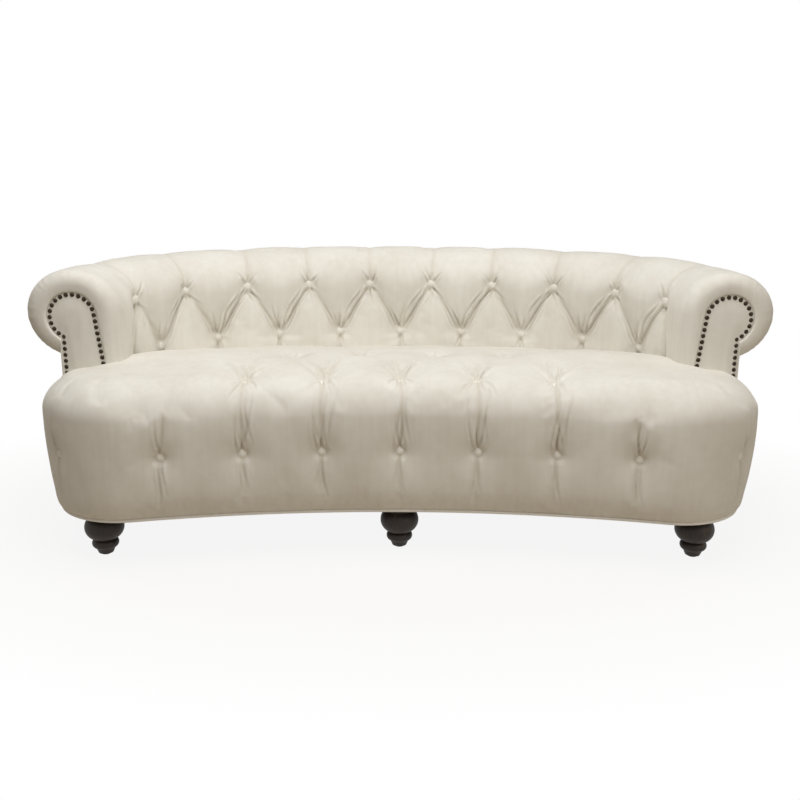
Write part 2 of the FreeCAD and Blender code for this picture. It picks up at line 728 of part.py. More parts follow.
def build_frame():
    """Rails, ribs, posts, blocks and screws."""
    neck_top = neck_z - neck_rail_drop
    neck_low = neck_top - neck_rail_height
    rib_head = roll_radius - frame_inner
    crown_z = roll_z + math.sqrt(rib_head ** 2 - (top_rail_width / 2) ** 2)
    top_inner = roll_radius - top_rail_width / 2
    top_outer = roll_radius + top_rail_width / 2
    bottom_section = section_box(rail_inner, frame_outer, base_z, rail_top)
    neck_section = section_box(rail_inner, frame_outer, neck_low, neck_top)
    top_section = section_box(top_inner, top_outer, crown_z - top_rail_depth, crown_z)
    top_notch = section_box(top_inner, top_outer, crown_z - top_rail_depth, overall_height)
    spring_low = rail_top - spring_rail_height
    spring_section = section_box(frame_inner, frame_inner + rail_thickness, spring_low, rail_top)
    rib_section = roll_face(frame_inner, frame_outer, base_z)

    back_bottom = along_back(bottom_section, seam_angle)
    back_neck = along_back(neck_section, seam_angle)
    spring_rail = along_back(spring_section, seam_angle)
    side_bottom = along_arm(bottom_section, seam_angle, corner_centre.y - seat_corner.y - block_reach)
    arm_neck = along_arm(neck_section, seam_angle, arm_straight)

    front_section = section_box(front_y + rail_inset, front_y + rail_inset + rail_thickness, base_z, rail_top)
    front_angle = math.atan2(front_turn.x, front_turn.y)
    front_section.rotate(front_centre, up, -math.degrees(front_angle))
    front_rail = front_section.revolve(front_centre, up, math.degrees(2 * front_angle))
    corner = corner_block()
    front_rail = largest(front_rail.cut([corner, mirrored(corner)]))

    cross_corner = Vector(cross_rail_x - rail_thickness / 2, -overall_depth / 2, base_z)
    cross_rail = Part.makeBox(rail_thickness, overall_depth, spring_low - base_z, cross_corner)
    cross_rail = largest(cross_rail.cut([front_rail, back_bottom]))

    sockets = []
    for foot in foot_places().values():
        sockets.append(Part.makeCylinder(insert_radius, insert_length, foot + up * base_z))
        sockets.append(Part.makeCylinder(bolt_radius, bolt_rise, foot + up * base_z))
    centre_place = Vector(-centre_block_width / 2, front_y + rail_inset + rail_thickness, base_z)
    centre_block = Part.makeBox(centre_block_width, centre_block_depth, block_height, centre_place)
    block_section = section_box(rail_inner - rear_block_depth, rail_inner, base_z, base_z + block_height)
    rear_heading = math.radians(rear_foot_heading)
    rear_block = upright_slab(block_section, rear_heading, rear_block_width).cut(back_bottom)
    rear_centre_block = upright_slab(block_section, 0, rear_block_width).cut(back_bottom)

    post = along_arm(rib_section, seam_angle, arm_straight)
    slab = Part.makeBox(overall_depth, post_thickness, overall_height, Vector(inner_half_width, arm_start_y, 0))
    post = post.common(slab).cut([side_bottom, arm_neck, along_arm(top_notch, seam_angle, arm_straight)])

    rib_run = along_back(rib_section, quarter)
    slab_section = section_box(0, 2 * roll_radius, 0, overall_height)
    notch_sections = (bottom_section, neck_section, top_notch, spring_section)
    notches = [along_back(section, quarter) for section in notch_sections]
    block_screw_z = base_z + block_height / 2
    rib_screw_z = base_z + rib_screw_rise
    neck_screw_z = neck_top - neck_rail_height / 2
    ribs = []
    screws = rail_screws(rear_heading, block_screw_z, block_screw_spread)
    for degrees in rib_headings:
        heading = math.radians(degrees)
        ribs.append(rib_run.common(upright_slab(slab_section, heading, rib_thickness)).cut(notches))
        screws += rail_screws(heading, rib_screw_z, rib_screw_spread)
        screws += rail_screws(heading, neck_screw_z, rib_screw_spread)
    screws += [mirrored(one) for one in screws]
    screws += rail_screws(0, block_screw_z, block_screw_spread)
    screws += [screw(*front_place(shift, rail_inset, block_screw_z))
               for shift in (-block_screw_spread, block_screw_spread)]

    save("front_rail", front_rail.cut(screws))
    save("back_bottom_rail", back_bottom.cut(screws))
    save_pair("side_bottom_rail", side_bottom.cut(screws))
    save("back_neck_rail", back_neck.cut(screws))
    save_twins("arm_neck_rails", arm_neck.cut(screws))
    save("back_top_rail", along_back(top_section, seam_angle))
    save_twins("arm_top_rails", along_arm(top_section, seam_angle, arm_straight))
    save("spring_rail", spring_rail)
    save_twins("cross_rails", cross_rail)
    save_twins("front_corner_blocks", corner.cut(sockets))
    save("front_centre_block", centre_block.cut(sockets + screws))
    rear_blocks = [rear_centre_block, rear_block, mirrored(rear_block)]
    save("rear_foot_blocks", group([block.cut(sockets + screws) for block in rear_blocks]))
    save_pair("arm_front_post", post)
    save_pair("back_ribs", group([rib.cut(screws) for rib in ribs]))
    save("frame_screws", group(screws))


# Suspension and linings

def spring(x):
    """Sinuous spring from the front rail to the spring rail, and the places of its two clips."""
    front_line = front_radius + rail_inset + rail_thickness / 2
    back_line = back_arc_radius + frame_inner + rail_thickness / 2
    start = front_centre.y + math.sqrt(front_line ** 2 - x ** 2)
    end = back_centre.y + math.sqrt(back_line ** 2 - x ** 2)
    steps = int((end - start) / (2 * spring_bend))
    step = (end - start) / steps
    half = spring_leg / 2
    side = 1
    edges = []
    for index in range(steps + 1):
        y = start + index * step
        leg_end = Vector(x + side * half, y, spring_z)
        edges.append(line(Vector(x - side * half, y, spring_z), leg_end))
        if index < steps:
            turn = Vector(x + side * (half + step / 2), y + step / 2, spring_z)
            edges.append(arc(leg_end, turn, leg_end + Vector(0, step, 0)))
        side = -side
    path = Part.Wire(edges)
    ring = Part.Wire(Part.makeCircle(spring_wire / 2, edges[0].firstVertex().Point, Vector(1, 0, 0)))
    return path.makePipeShell([ring], True, False), (start, end)


def clip(x, y, way):
    """Bent clip that holds a spring's end leg on a rail; way is the side that its back wall is on."""
    half = clip_length / 2
    reach = clip_top - rail_top
    corner = Vector(x - clip_width / 2, y - half, rail_top)
    sole = Part.makeBox(clip_width, clip_length, clip_thickness, corner)
    jaw = sole.copy()
    jaw.translate(up * (reach - clip_thickness))
    wall_y = y - half if way < 0 else y + half - clip_thickness
    wall = Part.makeBox(clip_width, clip_thickness, reach, Vector(corner.x, wall_y, rail_top))
    return join([sole, jaw, wall])


def build_suspension():
    """Seat springs with their clips and tie wires, the deck cloth, the back webbing and the roll linings."""
    springs = []
    clips = []
    outermost = (spring_count - 1) / 2 * spring_spacing
    for index in range(spring_count):
        x = index * spring_spacing - outermost
        wire, ends = spring(x)
        springs.append(wire)
        clips.append(clip(x, ends[0], -1))
        clips.append(clip(x, ends[1], 1))
    save("seat_springs", group(springs))
    save("spring_clips", group(clips))
    tie_z = spring_z - spring_wire / 2 - clearance - tie_wire / 2
    tie_half = outermost + spring_leg
    ties = []
    for setback in tie_setbacks:
        start = Vector(-tie_half, front_y + setback, tie_z)
        ties.append(Part.makeCylinder(tie_wire / 2, 2 * tie_half, start, Vector(1, 0, 0)))
    save("spring_tie_wires", group(ties))

    deck = Part.Face(seat_wire(rail_inset + clearance, clearance - frame_inner, arm_start_y, deck_z))
    save("seat_deck", deck.extrude(up * deck_thickness))

    straps = []
    strap_pitch = (lining_low - tuck_height) / webbing_count
    for index in range(webbing_count):
        low = tuck_height + index * strap_pitch + (strap_pitch - webbing_width) / 2
        strap = section_box(foam_back, frame_inner, low, low + webbing_width)
        straps.append(along_back(strap, seam_angle))
    save("back_webbing", group(straps))

    board = roll_face(foam_back, frame_outer, lining_low).cut(roll_face(frame_inner, frame_outer, 0))
    save("back_roll_lining", along_back(board, seam_angle))
    save_twins("arm_roll_linings", along_arm(board, seam_angle, arm_straight))


# Underside and feet

def build_underside():
    """Piping round the bottom edge and the dust cover under the frame."""
    path = base_wire(welt_radius, base_z - welt_radius - clearance)
    first = path.OrderedEdges[0]
    start = first.valueAt(first.FirstParameter)
    tangent = first.tangentAt(first.FirstParameter)
    ring = Part.Wire(Part.makeCircle(welt_radius, start, tangent))
    save("bottom_piping", path.makePipeShell([ring], True, True))

    sheet = Part.Face(base_wire(dust_inset, base_z - dust_thickness)).extrude(up * dust_thickness)
    hole_radius = foot_collar_radius + clearance
    holes = [Part.makeCylinder(hole_radius, leg_height, foot) for foot in foot_places().values()]
    save("dust_cover", sheet.cut(holes))


def build_feet():
    """Turned feet with their bolts, threaded inserts and glides."""
    profile = Part.Wire([
        line(Vector(0, 0, glide_height), Vector(foot_sole_radius, 0, glide_height)),
        line(Vector(foot_sole_radius, 0, glide_height), Vector(foot_ankle_radius, 0, foot_ankle_height)),
        arc(Vector(foot_ankle_radius, 0, foot_ankle_height), Vector(foot_bead_radius, 0, foot_bead_height),
            Vector(foot_waist_radius, 0, foot_waist_height)),
        arc(Vector(foot_waist_radius, 0, foot_waist_height), Vector(foot_bulb_radius, 0, foot_bulb_height),
            Vector(foot_neck_radius, 0, foot_neck_height)),
        line(Vector(foot_neck_radius, 0, foot_neck_height), Vector(foot_collar_radius, 0, foot_collar_height)),
        line(Vector(foot_collar_radius, 0, foot_collar_height), Vector(foot_collar_radius, 0, leg_height)),
        line(Vector(foot_collar_radius, 0, leg_height), Vector(0, 0, leg_height)),
        line(Vector(0, 0, leg_height), Vector(0, 0, glide_height))])
    turned = Part.Face(profile).revolve(Vector(0, 0, 0), up, 360)
    turned = turned.cut(Part.makeCylinder(bolt_radius, bolt_depth, up * (leg_height - bolt_depth)))
    bolt = Part.makeCylinder(bolt_radius, bolt_depth + bolt_rise, up * (leg_height - bolt_depth))
    tube = Part.makeCylinder(insert_radius, insert_length, up * leg_height)
    tube = tube.cut(Part.makeCylinder(bolt_radius, insert_length, up * leg_height))
    glide = Part.makeCone(glide_radius - glide_height / 2, glide_radius, glide_height)
    places = foot_places()
    for name, place in places.items():
        save("foot_" + name, aimed(turned, place, up))
    save("foot_bolts", group([aimed(bolt, place, up) for place in places.values()]))
    save("foot_inserts", group([aimed(tube, place, up) for place in places.values()]))
    save("foot_glides", group([aimed(glide, place, up) for place in places.values()]))


if __name__ == "__main__":
    os.makedirs("parts", exist_ok=True)
    build_back_padding()
    build_outside_covers()
    build_facings()
    build_seat()
    build_frame()
    build_suspension()
    build_underside()
    build_feet()
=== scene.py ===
import json
import logging
import math
from dataclasses import dataclass
from enum import Enum
from typing import Optional, Union

import bmesh
import bpy
import numpy as np
from mathutils import Matrix, Vector


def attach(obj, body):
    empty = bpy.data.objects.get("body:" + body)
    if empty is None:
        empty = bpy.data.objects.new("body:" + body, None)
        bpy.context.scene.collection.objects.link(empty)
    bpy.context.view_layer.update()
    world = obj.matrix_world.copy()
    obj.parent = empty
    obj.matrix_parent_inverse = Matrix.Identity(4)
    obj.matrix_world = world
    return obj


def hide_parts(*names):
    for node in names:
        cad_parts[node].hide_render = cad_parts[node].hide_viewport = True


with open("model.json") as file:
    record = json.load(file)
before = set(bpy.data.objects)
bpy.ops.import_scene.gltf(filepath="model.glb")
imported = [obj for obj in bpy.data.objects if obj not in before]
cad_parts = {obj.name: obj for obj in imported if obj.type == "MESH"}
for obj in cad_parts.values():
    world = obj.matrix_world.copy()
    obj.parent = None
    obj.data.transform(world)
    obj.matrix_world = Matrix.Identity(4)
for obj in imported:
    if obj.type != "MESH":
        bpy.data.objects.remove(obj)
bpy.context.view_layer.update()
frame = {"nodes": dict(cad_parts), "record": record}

LOG = logging.getLogger("settee")
Field = np.ndarray
Spot = tuple[float, float]
Triple = tuple[float, float, float]
Colour = tuple[float, float, float]
MIRROR = np.array([-1.0, 1.0, 1.0])
MERGE_DISTANCE = 1e-6
TINY = 1e-12


class Grain(Enum):
    """Ways a wood's figure can run."""

    UPRIGHT = (30.0, 30.0, 3.0)
    LENGTHWISE = (4.0, 30.0, 30.0)


class Weave(Enum):
    """Thread spacing of the plain cloths, in threads per metre."""

    STRAP = 420.0
    LINING = 900.0


class Way(Enum):
    """Directions on a padded surface, clockwise from straight up, in radians."""

    UP = 0.0
    DOWN = math.pi


class Signal:
    """A shader socket that takes part in Python expressions."""

    def __init__(self, sheet: "Sheet", socket: bpy.types.NodeSocket) -> None:
        """Keep the socket and the node tree that it belongs to.

        Args:
            sheet: Node tree that the expression adds to.
            socket: Output socket with the value.
        """
        self.sheet = sheet
        self.socket = socket

    def _math(self, operation: str, first: "Value", second: "Value") -> "Signal":
        """Add one Math node.

        Args:
            operation: Name of the operation.
            first: First operand.
            second: Second operand.

        Returns:
            The result.
        """
        return self.sheet.add("ShaderNodeMath", {"operation": operation}, {0: first, 1: second})

    def __add__(self, other: "Value") -> "Signal":
        """Sum."""
        return self._math("ADD", self, other)

    def __radd__(self, other: "Value") -> "Signal":
        """Sum with a number on the left."""
        return self._math("ADD", other, self)

    def __sub__(self, other: "Value") -> "Signal":
        """Difference."""
        return self._math("SUBTRACT", self, other)

    def __rsub__(self, other: "Value") -> "Signal":
        """Difference from a number on the left."""
        return self._math("SUBTRACT", other, self)

    def __mul__(self, other: "Value") -> "Signal":
        """Product."""
        return self._math("MULTIPLY", self, other)

    def __rmul__(self, other: "Value") -> "Signal":
        """Product with a number on the left."""
        return self._math("MULTIPLY", other, self)

    def __pow__(self, other: "Value") -> "Signal":
        """Power."""
        return self._math("POWER", self, other)

    def clamped(self) -> "Signal":
        """The value held between 0 and 1."""
        return self.sheet.add("ShaderNodeClamp", {}, {0: self})


Value = Union[float, tuple, Signal]


class Sheet:
    """A node tree that is filled from expressions."""

    def __init__(self, tree: bpy.types.NodeTree) -> None:
        """Empty the tree.

        Args:
            tree: Node tree of a material or the world.
        """
        self.tree = tree
        tree.nodes.clear()

    def add(self, kind: str, settings: dict, inputs: dict, output: Union[int, str] = 0) -> Signal:
        """Add a node.

        Args:
            kind: Node type.
            settings: Properties, set first; "stops" fills a colour ramp.
            inputs: Values or signals by socket name or index.
            output: Output socket that is handed back.

        Returns:
            The output as a signal.
        """
        node = self.tree.nodes.new(kind)
        for name, value in settings.items():
            if name == "stops":
                self._fill_ramp(node.color_ramp, value)
            else:
                setattr(node, name, value)
        for key, value in inputs.items():
            socket = node.inputs[key]
            if isinstance(value, Signal):
                self.tree.links.new(value.socket, socket)
            else:
                socket.default_value = value
        return Signal(self, node.outputs[output]) if node.outputs else Signal(self, None)

    @staticmethod
    def _fill_ramp(ramp: bpy.types.ColorRamp, stops: list) -> None:
        """Give a ramp its stops.

        Args:
            ramp: Ramp to fill.
            stops: Pairs of position and colour.
        """
        while len(ramp.elements) < len(stops):
            ramp.elements.new(1.0)
        for element, (position, colour) in zip(ramp.elements, stops):
            element.position = position
            element.color = (*colour, 1.0)

    def place(self, scale: Triple = (1.0, 1.0, 1.0)) -> Signal:
        """Object coordinates, stretched per axis."""
        spot = self.add("ShaderNodeTexCoord", {}, {}, "Object")
        return self.add("ShaderNodeMapping", {}, {"Vector": spot, "Scale": scale})

    def noise(self, spot: Signal, scale: float, detail: float = 2.0, rough: float = 0.5) -> Signal:
        """Noise between 0 and 1 at a place."""
        return self.add("ShaderNodeTexNoise", {}, {"Vector": spot, "Scale": scale, "Detail": detail,
                                                   "Roughness": rough}, "Fac")

    def ramp(self, factor: Signal, stops: list) -> Signal:
        """Colour by a factor."""
        return self.add("ShaderNodeValToRGB", {"stops": stops}, {"Fac": factor}, "Color")

    def blend(self, factor: Value, first: Value, second: Value) -> Signal:
        """Mix of two colours."""
        return self.add("ShaderNodeMix", {"data_type": "RGBA"}, {0: factor, 6: first, 7: second}, 2)

    def bump(self, height: Signal, strength: float, distance: float) -> Signal:
        """Normal from a height."""
        inputs = {"Strength": strength, "Distance": distance, "Height": height}
        return self.add("ShaderNodeBump", {}, inputs, "Normal")

    def seen(self) -> Signal:
        """Tell what is looked at from what only throws light.

        Returns:
            1 for the camera's own rays, in mirrors and glass too, and 0 for stray light.
        """
        rays = "ShaderNodeLightPath"
        total = self.add(rays, {}, {}, "Is Camera Ray") + self.add(rays, {}, {}, "Is Glossy Ray")
        return (total + self.add(rays, {}, {}, "Is Transmission Ray")).clamped()

    def surface(self, inputs: dict) -> None:
        """Finish the material with one shader.

        Args:
            inputs: Shader sockets with their values or signals.
        """
        shader = self.add("ShaderNodeBsdfPrincipled", {}, inputs, "BSDF")
        self.add("ShaderNodeOutputMaterial", {}, {"Surface": shader})


def rgba(colour: Colour) -> tuple[float, float, float, float]:
    """A colour with full opacity."""
    return (*colour, 1.0)


def blank(name: str) -> tuple[bpy.types.Material, Sheet]:
    """Start a material.

    Args:
        name: Name of the material.

    Returns:
        The material and its empty node tree.
    """
    material = bpy.data.materials.new(name)
    material.use_nodes = True
    return material, Sheet(material.node_tree)


@dataclass(frozen=True)
class Velvet:
    """Short-piled cloth whose nap is brushed in soft patches, with painted shade in its folds and round its
    buttons.
    """

    name: str
    light: Colour
    dark: Colour
    shade: Colour
    shade_share: float = 0.4
    patch_scale: float = 9.0
    patch_stretch: Triple = (1.0, 1.0, 0.55)
    mark_scale: float = 46.0
    streak_scale: float = 75.0
    streak_stretch: Triple = (1.0, 1.0, 0.05)
    nap_low: float = 0.32
    nap_contrast: float = 2.8
    fibre_scale: float = 1500.0
    pile_scale: float = 330.0
    pile_height: float = 0.0008
    sheen_tint: Colour = (1.0, 0.97, 0.92)

    def make(self) -> bpy.types.Material:
        """Build the material.

        Returns:
            The material.
        """
        material, sheet = blank(self.name)
        spot = sheet.place()
        brushed = sheet.noise(sheet.place(self.patch_stretch), self.patch_scale, 3.0, 0.55)
        marks = sheet.noise(spot, self.mark_scale)
        streaks = sheet.noise(sheet.place(self.streak_stretch), self.streak_scale)
        nap = brushed * 0.55 + marks * 0.2 + streaks * 0.25
        nap = ((nap - self.nap_low) * self.nap_contrast).clamped()
        colour = sheet.blend(nap, rgba(self.dark), rgba(self.light))
        # painted shade: the fold attribute blends the cloth towards the shade colour in creases, wrinkles and
        # round buttons
        fold = sheet.add("ShaderNodeAttribute", {"attribute_name": "fold"}, {}, "Fac")
        colour = sheet.blend((fold * self.shade_share).clamped(), colour, rgba(self.shade))
        fibre = sheet.noise(spot, self.fibre_scale, 1.0)
        pile = sheet.noise(spot, self.pile_scale)
        normal = sheet.bump(fibre * 0.6 + pile * 0.4, 0.22, self.pile_height)
        sheet.surface({"Base Color": colour, "Roughness": 0.8 + nap * 0.12, "Normal": normal,
                       "Specular IOR Level": 0.2, "Sheen Weight": 0.28, "Sheen Roughness": 0.42,
                       "Sheen Tint": rgba(self.sheen_tint)})
        return material


@dataclass(frozen=True)
class Timber:
    """Wood with a figure that runs one way and worn, paler streaks."""

    name: str
    deep: Colour
    pale: Colour
    grain: Grain
    worn: Optional[Colour] = None
    roughness: float = 0.5
    coat: float = 0.0
    figure_scale: float = 7.0
    pore_scale: float = 42.0
    pore_height: float = 0.0006
    patch_scale: float = 38.0
    patch_stretch: Triple = (1.0, 1.0, 1.4)

    def make(self) -> bpy.types.Material:
        """Build the material.

        Returns:
            The material.
        """
        material, sheet = blank(self.name)
        figure = sheet.noise(sheet.place(self.grain.value), self.figure_scale, 5.0, 0.6)
        pores = sheet.noise(sheet.place(self.grain.value), self.pore_scale)
        colour = sheet.ramp(figure * 0.75 + pores * 0.25, [(0.32, self.deep), (0.68, self.pale)])
        rough = self.roughness + pores * 0.2
        if self.worn is not None:
            patches = sheet.noise(sheet.place(self.patch_stretch), self.patch_scale, 5.0, 0.65)
            rubbed = ((patches - 0.56) * 7.0).clamped()
            colour = sheet.blend(rubbed * 0.75, colour, rgba(self.worn))
            rough = rough + rubbed * 0.15
        normal = sheet.bump(pores * 0.6 + figure * 0.4, 0.25, self.pore_height)
        sheet.surface({"Base Color": colour, "Roughness": rough, "Normal": normal,
                       "Specular IOR Level": 0.35, "Coat Weight": self.coat, "Coat Roughness": 0.25})
        return material


@dataclass(frozen=True)
class PlainCloth:
    """Woven strap, twine or lining cloth."""

    name: str
    thread: Colour
    gap: Colour
    weave: Weave
    slub_scale: float = 60.0
    thread_height: float = 0.0005

    def make(self) -> bpy.types.Material:
        """Build the material.

        Returns:
            The material.
        """
        material, sheet = blank(self.name)
        spot = sheet.place()
        checks = {"Vector": spot, "Scale": self.weave.value}
        threads = sheet.add("ShaderNodeTexChecker", {}, checks, "Fac")
        slub = sheet.noise(spot, self.slub_scale, 3.0)
        share = (threads * 0.35 + slub * 0.65).clamped()
        colour = sheet.blend(share, rgba(self.gap), rgba(self.thread))
        normal = sheet.bump(threads * 0.5 + slub, 0.3, self.thread_height)
        sheet.surface({"Base Color": colour, "Roughness": 0.9, "Normal": normal, "Specular IOR Level": 0.2})
        return material


@dataclass(frozen=True)
class Mottled:
    """Metal, plastic or foam with a mottled tone."""

    name: str
    first: Colour
    second: Colour
    scale: float
    metallic: float
    roughness: float
    grain_height: float = 0.0004

    def make(self) -> bpy.types.Material:
        """Build the material.

        Returns:
            The material.
        """
        material, sheet = blank(self.name)
        spot = sheet.place()
        tone = sheet.noise(spot, self.scale, 4.0, 0.6)
        colour = sheet.ramp(tone, [(0.35, self.first), (0.65, self.second)])
        normal = sheet.bump(sheet.noise(spot, self.scale * 4.0), 0.15, self.grain_height)
        sheet.surface({"Base Color": colour, "Roughness": self.roughness + tone * 0.2, "Normal": normal,
                       "Metallic": self.metallic})
        return material


@dataclass(frozen=True)
class Plan:
    """Plan of the settee in metres: the inside line of the back and the outline of the seat."""

    inner_half_width: float = 0.725
    back_radius: float = 1.3
    back_half_width: float = 0.48
    inside_y: float = 0.254
    arm_straight: float = 0.002
    shell_offset: float = 0.162
    seat_half_width: float = 0.915
    seat_corner_radius: float = 0.2102
    half_depth: float = 0.49
    front_sag: float = 0.084

    @property
    def back_angle(self) -> float:
        """Heading where the gentle arc of the back ends."""
        return math.asin(self.back_half_width / self.back_radius)

    @property
    def corner_radius(self) -> float:
        """Radius of the tight corners."""
        return (self.inner_half_width - self.back_half_width) / (1 - math.sin(self.back_angle))

    @property
    def back_length(self) -> float:
        """Half the length of the gentle arc."""
        return self.back_radius * self.back_angle

    @property
    def bend_length(self) -> float:
        """Distance along the inside line to the end of the corner."""
        return self.back_length + self.corner_radius * (math.pi / 2 - self.back_angle)

    @property
    def half_length(self) -> float:
        """Distance along the inside line from the centre to the front of an arm."""
        return self.bend_length + self.arm_straight

    @property
    def corner_centre(self) -> tuple[float, float]:
        """Centre of the right-hand corner."""
        reach = self.back_radius - self.corner_radius
        x = reach * math.sin(self.back_angle)
        return x, self.inside_y - self.back_radius + reach * math.cos(self.back_angle)

    @property
    def arm_y(self) -> float:
        """Where the arms start to round off."""
        return self.corner_centre[1] - self.arm_straight

    def inside(self, along: Field, offset: Field) -> tuple[Field, Field]:
        """Points at an offset behind the inside line.

        Args:
            along: Signed distance along the line from the centre.
            offset: Distance behind the line.

        Returns:
            The X and Y of the points.
        """
        run = np.abs(along)
        on_back = run <= self.back_length
        bend = self.back_angle + (run - self.back_length) / self.corner_radius
        heading = np.where(on_back, run / self.back_radius, np.minimum(bend, math.pi / 2))
        centre_x, centre_y = self.corner_centre
        radius = np.where(on_back, self.back_radius, self.corner_radius) + offset
        x = np.where(on_back, 0.0, centre_x) + radius * np.sin(heading)
        y = np.where(on_back, self.inside_y - self.back_radius, centre_y) + radius * np.cos(heading)
        y = y - np.maximum(run - self.bend_length, 0.0)
        return np.where(along < 0, -x, x), y

    @property
    def seat_corner(self) -> tuple[float, float]:
        """Centre of the seat's right-hand front corner."""
        return self.seat_half_width - self.seat_corner_radius, self.seat_corner_radius - self.half_depth

    @property
    def front_radius(self) -> float:
        """Radius of the hollow front."""
        x, y = self.seat_corner
        lead = y - (self.front_sag - self.half_depth)
        return (x ** 2 + lead ** 2 - self.seat_corner_radius ** 2) / (2 * (self.seat_corner_radius - lead))

    @property
    def front_angle(self) -> float:
        """Angle of half the hollow front."""
        x, y = self.seat_corner
        return math.atan2(x, y - (self.front_sag - self.half_depth - self.front_radius))

    @property
    def front_run(self) -> float:
        """Length of half the hollow front."""
        return self.front_radius * self.front_angle

    @property
    def corner_run(self) -> float:
        """Length along the seat's outline from the centre to the end of its corner."""
        return self.front_run + self.seat_corner_radius * (math.pi / 2 + self.front_angle)

    @property
    def seat_run(self) -> float:
        """Length along the seat's outline from the centre to an arm."""
        return self.corner_run + self.arm_y - self.seat_corner[1]

    def seat_reach(self, along: Field, inset: Field) -> Field:
        """Distance along the seat's outline once it is drawn in by an inset.

        Args:
            along: Signed distance along the full outline from the centre of the front.
            inset: How far the outline is drawn in.

        Returns:
            The signed distance along the outline that is drawn in.
        """
        run = np.abs(along)
        bend = np.clip(run - self.front_run, 0.0, self.corner_run - self.front_run)
        front = (1.0 + inset / self.front_radius) * np.minimum(run, self.front_run)
        corner = (1.0 - inset / self.seat_corner_radius) * bend
        return np.sign(along) * (front + corner + np.maximum(run - self.corner_run, 0.0))

    def seat_edge(self, along: Field, inset: Field) -> tuple[Field, Field]:
        """Points of the seat's outline, drawn in by an inset.

        Args:
            along: Signed distance along the outline from the centre of the front.
            inset: How far the outline is drawn in.

        Returns:
            The X and Y of the points.
        """
        run = np.abs(along)
        corner_x, corner_y = self.seat_corner
        angle = np.minimum(run, self.front_run) / self.front_radius
        reach = self.front_radius + inset
        front_x = reach * np.sin(angle)
        front_y = self.front_sag - self.half_depth - self.front_radius + reach * np.cos(angle)
        turn = -math.pi / 2 - self.front_angle + (run - self.front_run) / self.seat_corner_radius
        turn = np.clip(turn, -math.pi, 0.0)
        side = self.seat_corner_radius - inset
        bend_x = corner_x + side * np.cos(turn)
        bend_y = corner_y + side * np.sin(turn) + np.maximum(run - self.corner_run, 0.0)
        x = np.where(run <= self.front_run, front_x, bend_x)
        y = np.where(run <= self.front_run, front_y, bend_y)
        return np.where(along < 0, -x, x), y


def spots(x: Union[Field, float], y: Union[Field, float], z: Union[Field, float]) -> Field:
    """Points from their coordinates, which may be arrays or one value for all."""
    return np.stack(np.broadcast_arrays(x, y, z), axis=-1)


def moved_to(points: Field, y: float) -> Field:
    """A row of points, moved to an upright plane across the settee."""
    return spots(points[:, 0], y, points[:, 2])


def stretches(*counts: int) -> Field:
    """Even steps over stretches of length 1 that follow each other.

    Args:
        counts: Rows of each stretch.

    Returns:
        The steps, from 0 to the number of stretches.
    """
    steps = [np.linspace(index, index + 1, count) for index, count in enumerate(counts)]
    return np.concatenate([steps[0]] + [step[1:] for step in steps[1:]])


def evenly(count: int, pitch: float) -> list[float]:
    """Places of a row of buttons about its middle."""
    return [(index - (count - 1) / 2) * pitch for index in range(count)]


def eased(value: Field, low: float, high: float) -> Field:
    """Smooth step from 0 at low to 1 at high."""
    share = np.clip((value - low) / (high - low), 0.0, 1.0)
    return share * share * (3.0 - 2.0 * share)


def away_from(first: Field, second: Field, start: Spot, end: Spot) -> tuple[Field, Field]:
    """Distance from a straight fold.

    Args:
        first: First coordinate of the points.
        second: Second coordinate of the points.
        start: One end of the fold.
        end: Its other end.

    Returns:
        Signed distance from the fold's line, with the distance past its ends added, and the share of
        its length at the nearest point.
    """
    step_a = end[0] - start[0]
    step_b = end[1] - start[1]
    length = math.hypot(step_a, step_b)
    share = ((first - start[0]) * step_a + (second - start[1]) * step_b) / length ** 2
    share = np.clip(share, 0.0, 1.0)
    gap_a = first - start[0] - share * step_a
    gap_b = second - start[1] - share * step_b
    side = np.sign(gap_a * step_b - gap_b * step_a)
    return np.hypot(gap_a, gap_b) * np.where(side == 0, 1.0, side), share


@dataclass(frozen=True)
class Bumps:
    """Soft, repeatable unevenness, made of waves whose lengths never fall in step."""

    height: float
    across: float
    up: float
    seed: float

    def over(self, first: Field, second: Field) -> Field:
        """Work out the unevenness.

        Args:
            first: First coordinate of the points.
            second: Second coordinate of the points.

        Returns:
            The height at each point.
        """
        wide = first * self.across
        tall = second * self.up
        total = np.sin(wide * 6.1 + 1.7 * np.sin(tall * 4.3 + self.seed) + self.seed * 2.1)
        total = total + np.sin(tall * 5.3 + 1.3 * np.sin(wide * 3.7 - self.seed) + self.seed * 1.3)
        return (total + np.sin((wide + tall) * 4.1 + self.seed * 3.3)) / 3.0 * self.height


@dataclass(frozen=True)
class Pleat:
    """Depth of a pleat's crease and of its valley, and the share of both that is lost at its end."""

    depth: float
    pull: float
    fade: float = 0.0


@dataclass(frozen=True)
class Wrinkle:
    """Length and depth of one fine wrinkle."""

    length: float
    depth: float


@dataclass(frozen=True)
class Fan:
    """Fine wrinkles that spread from a button: their angle, count, usual length and depth.

    The variety and the start make the fans of a row differ from each other.
    """

    way: Way
    spread: float
    count: int
    length: float
    variety: float
    depth: float = 0.004
    start: float = 0.0


@dataclass(frozen=True)
class Tuft:
    """What a button does to the cloth round it: a soft hollow and fans of wrinkles."""

    depth: float
    reach: float
    fans: tuple[Fan, ...]


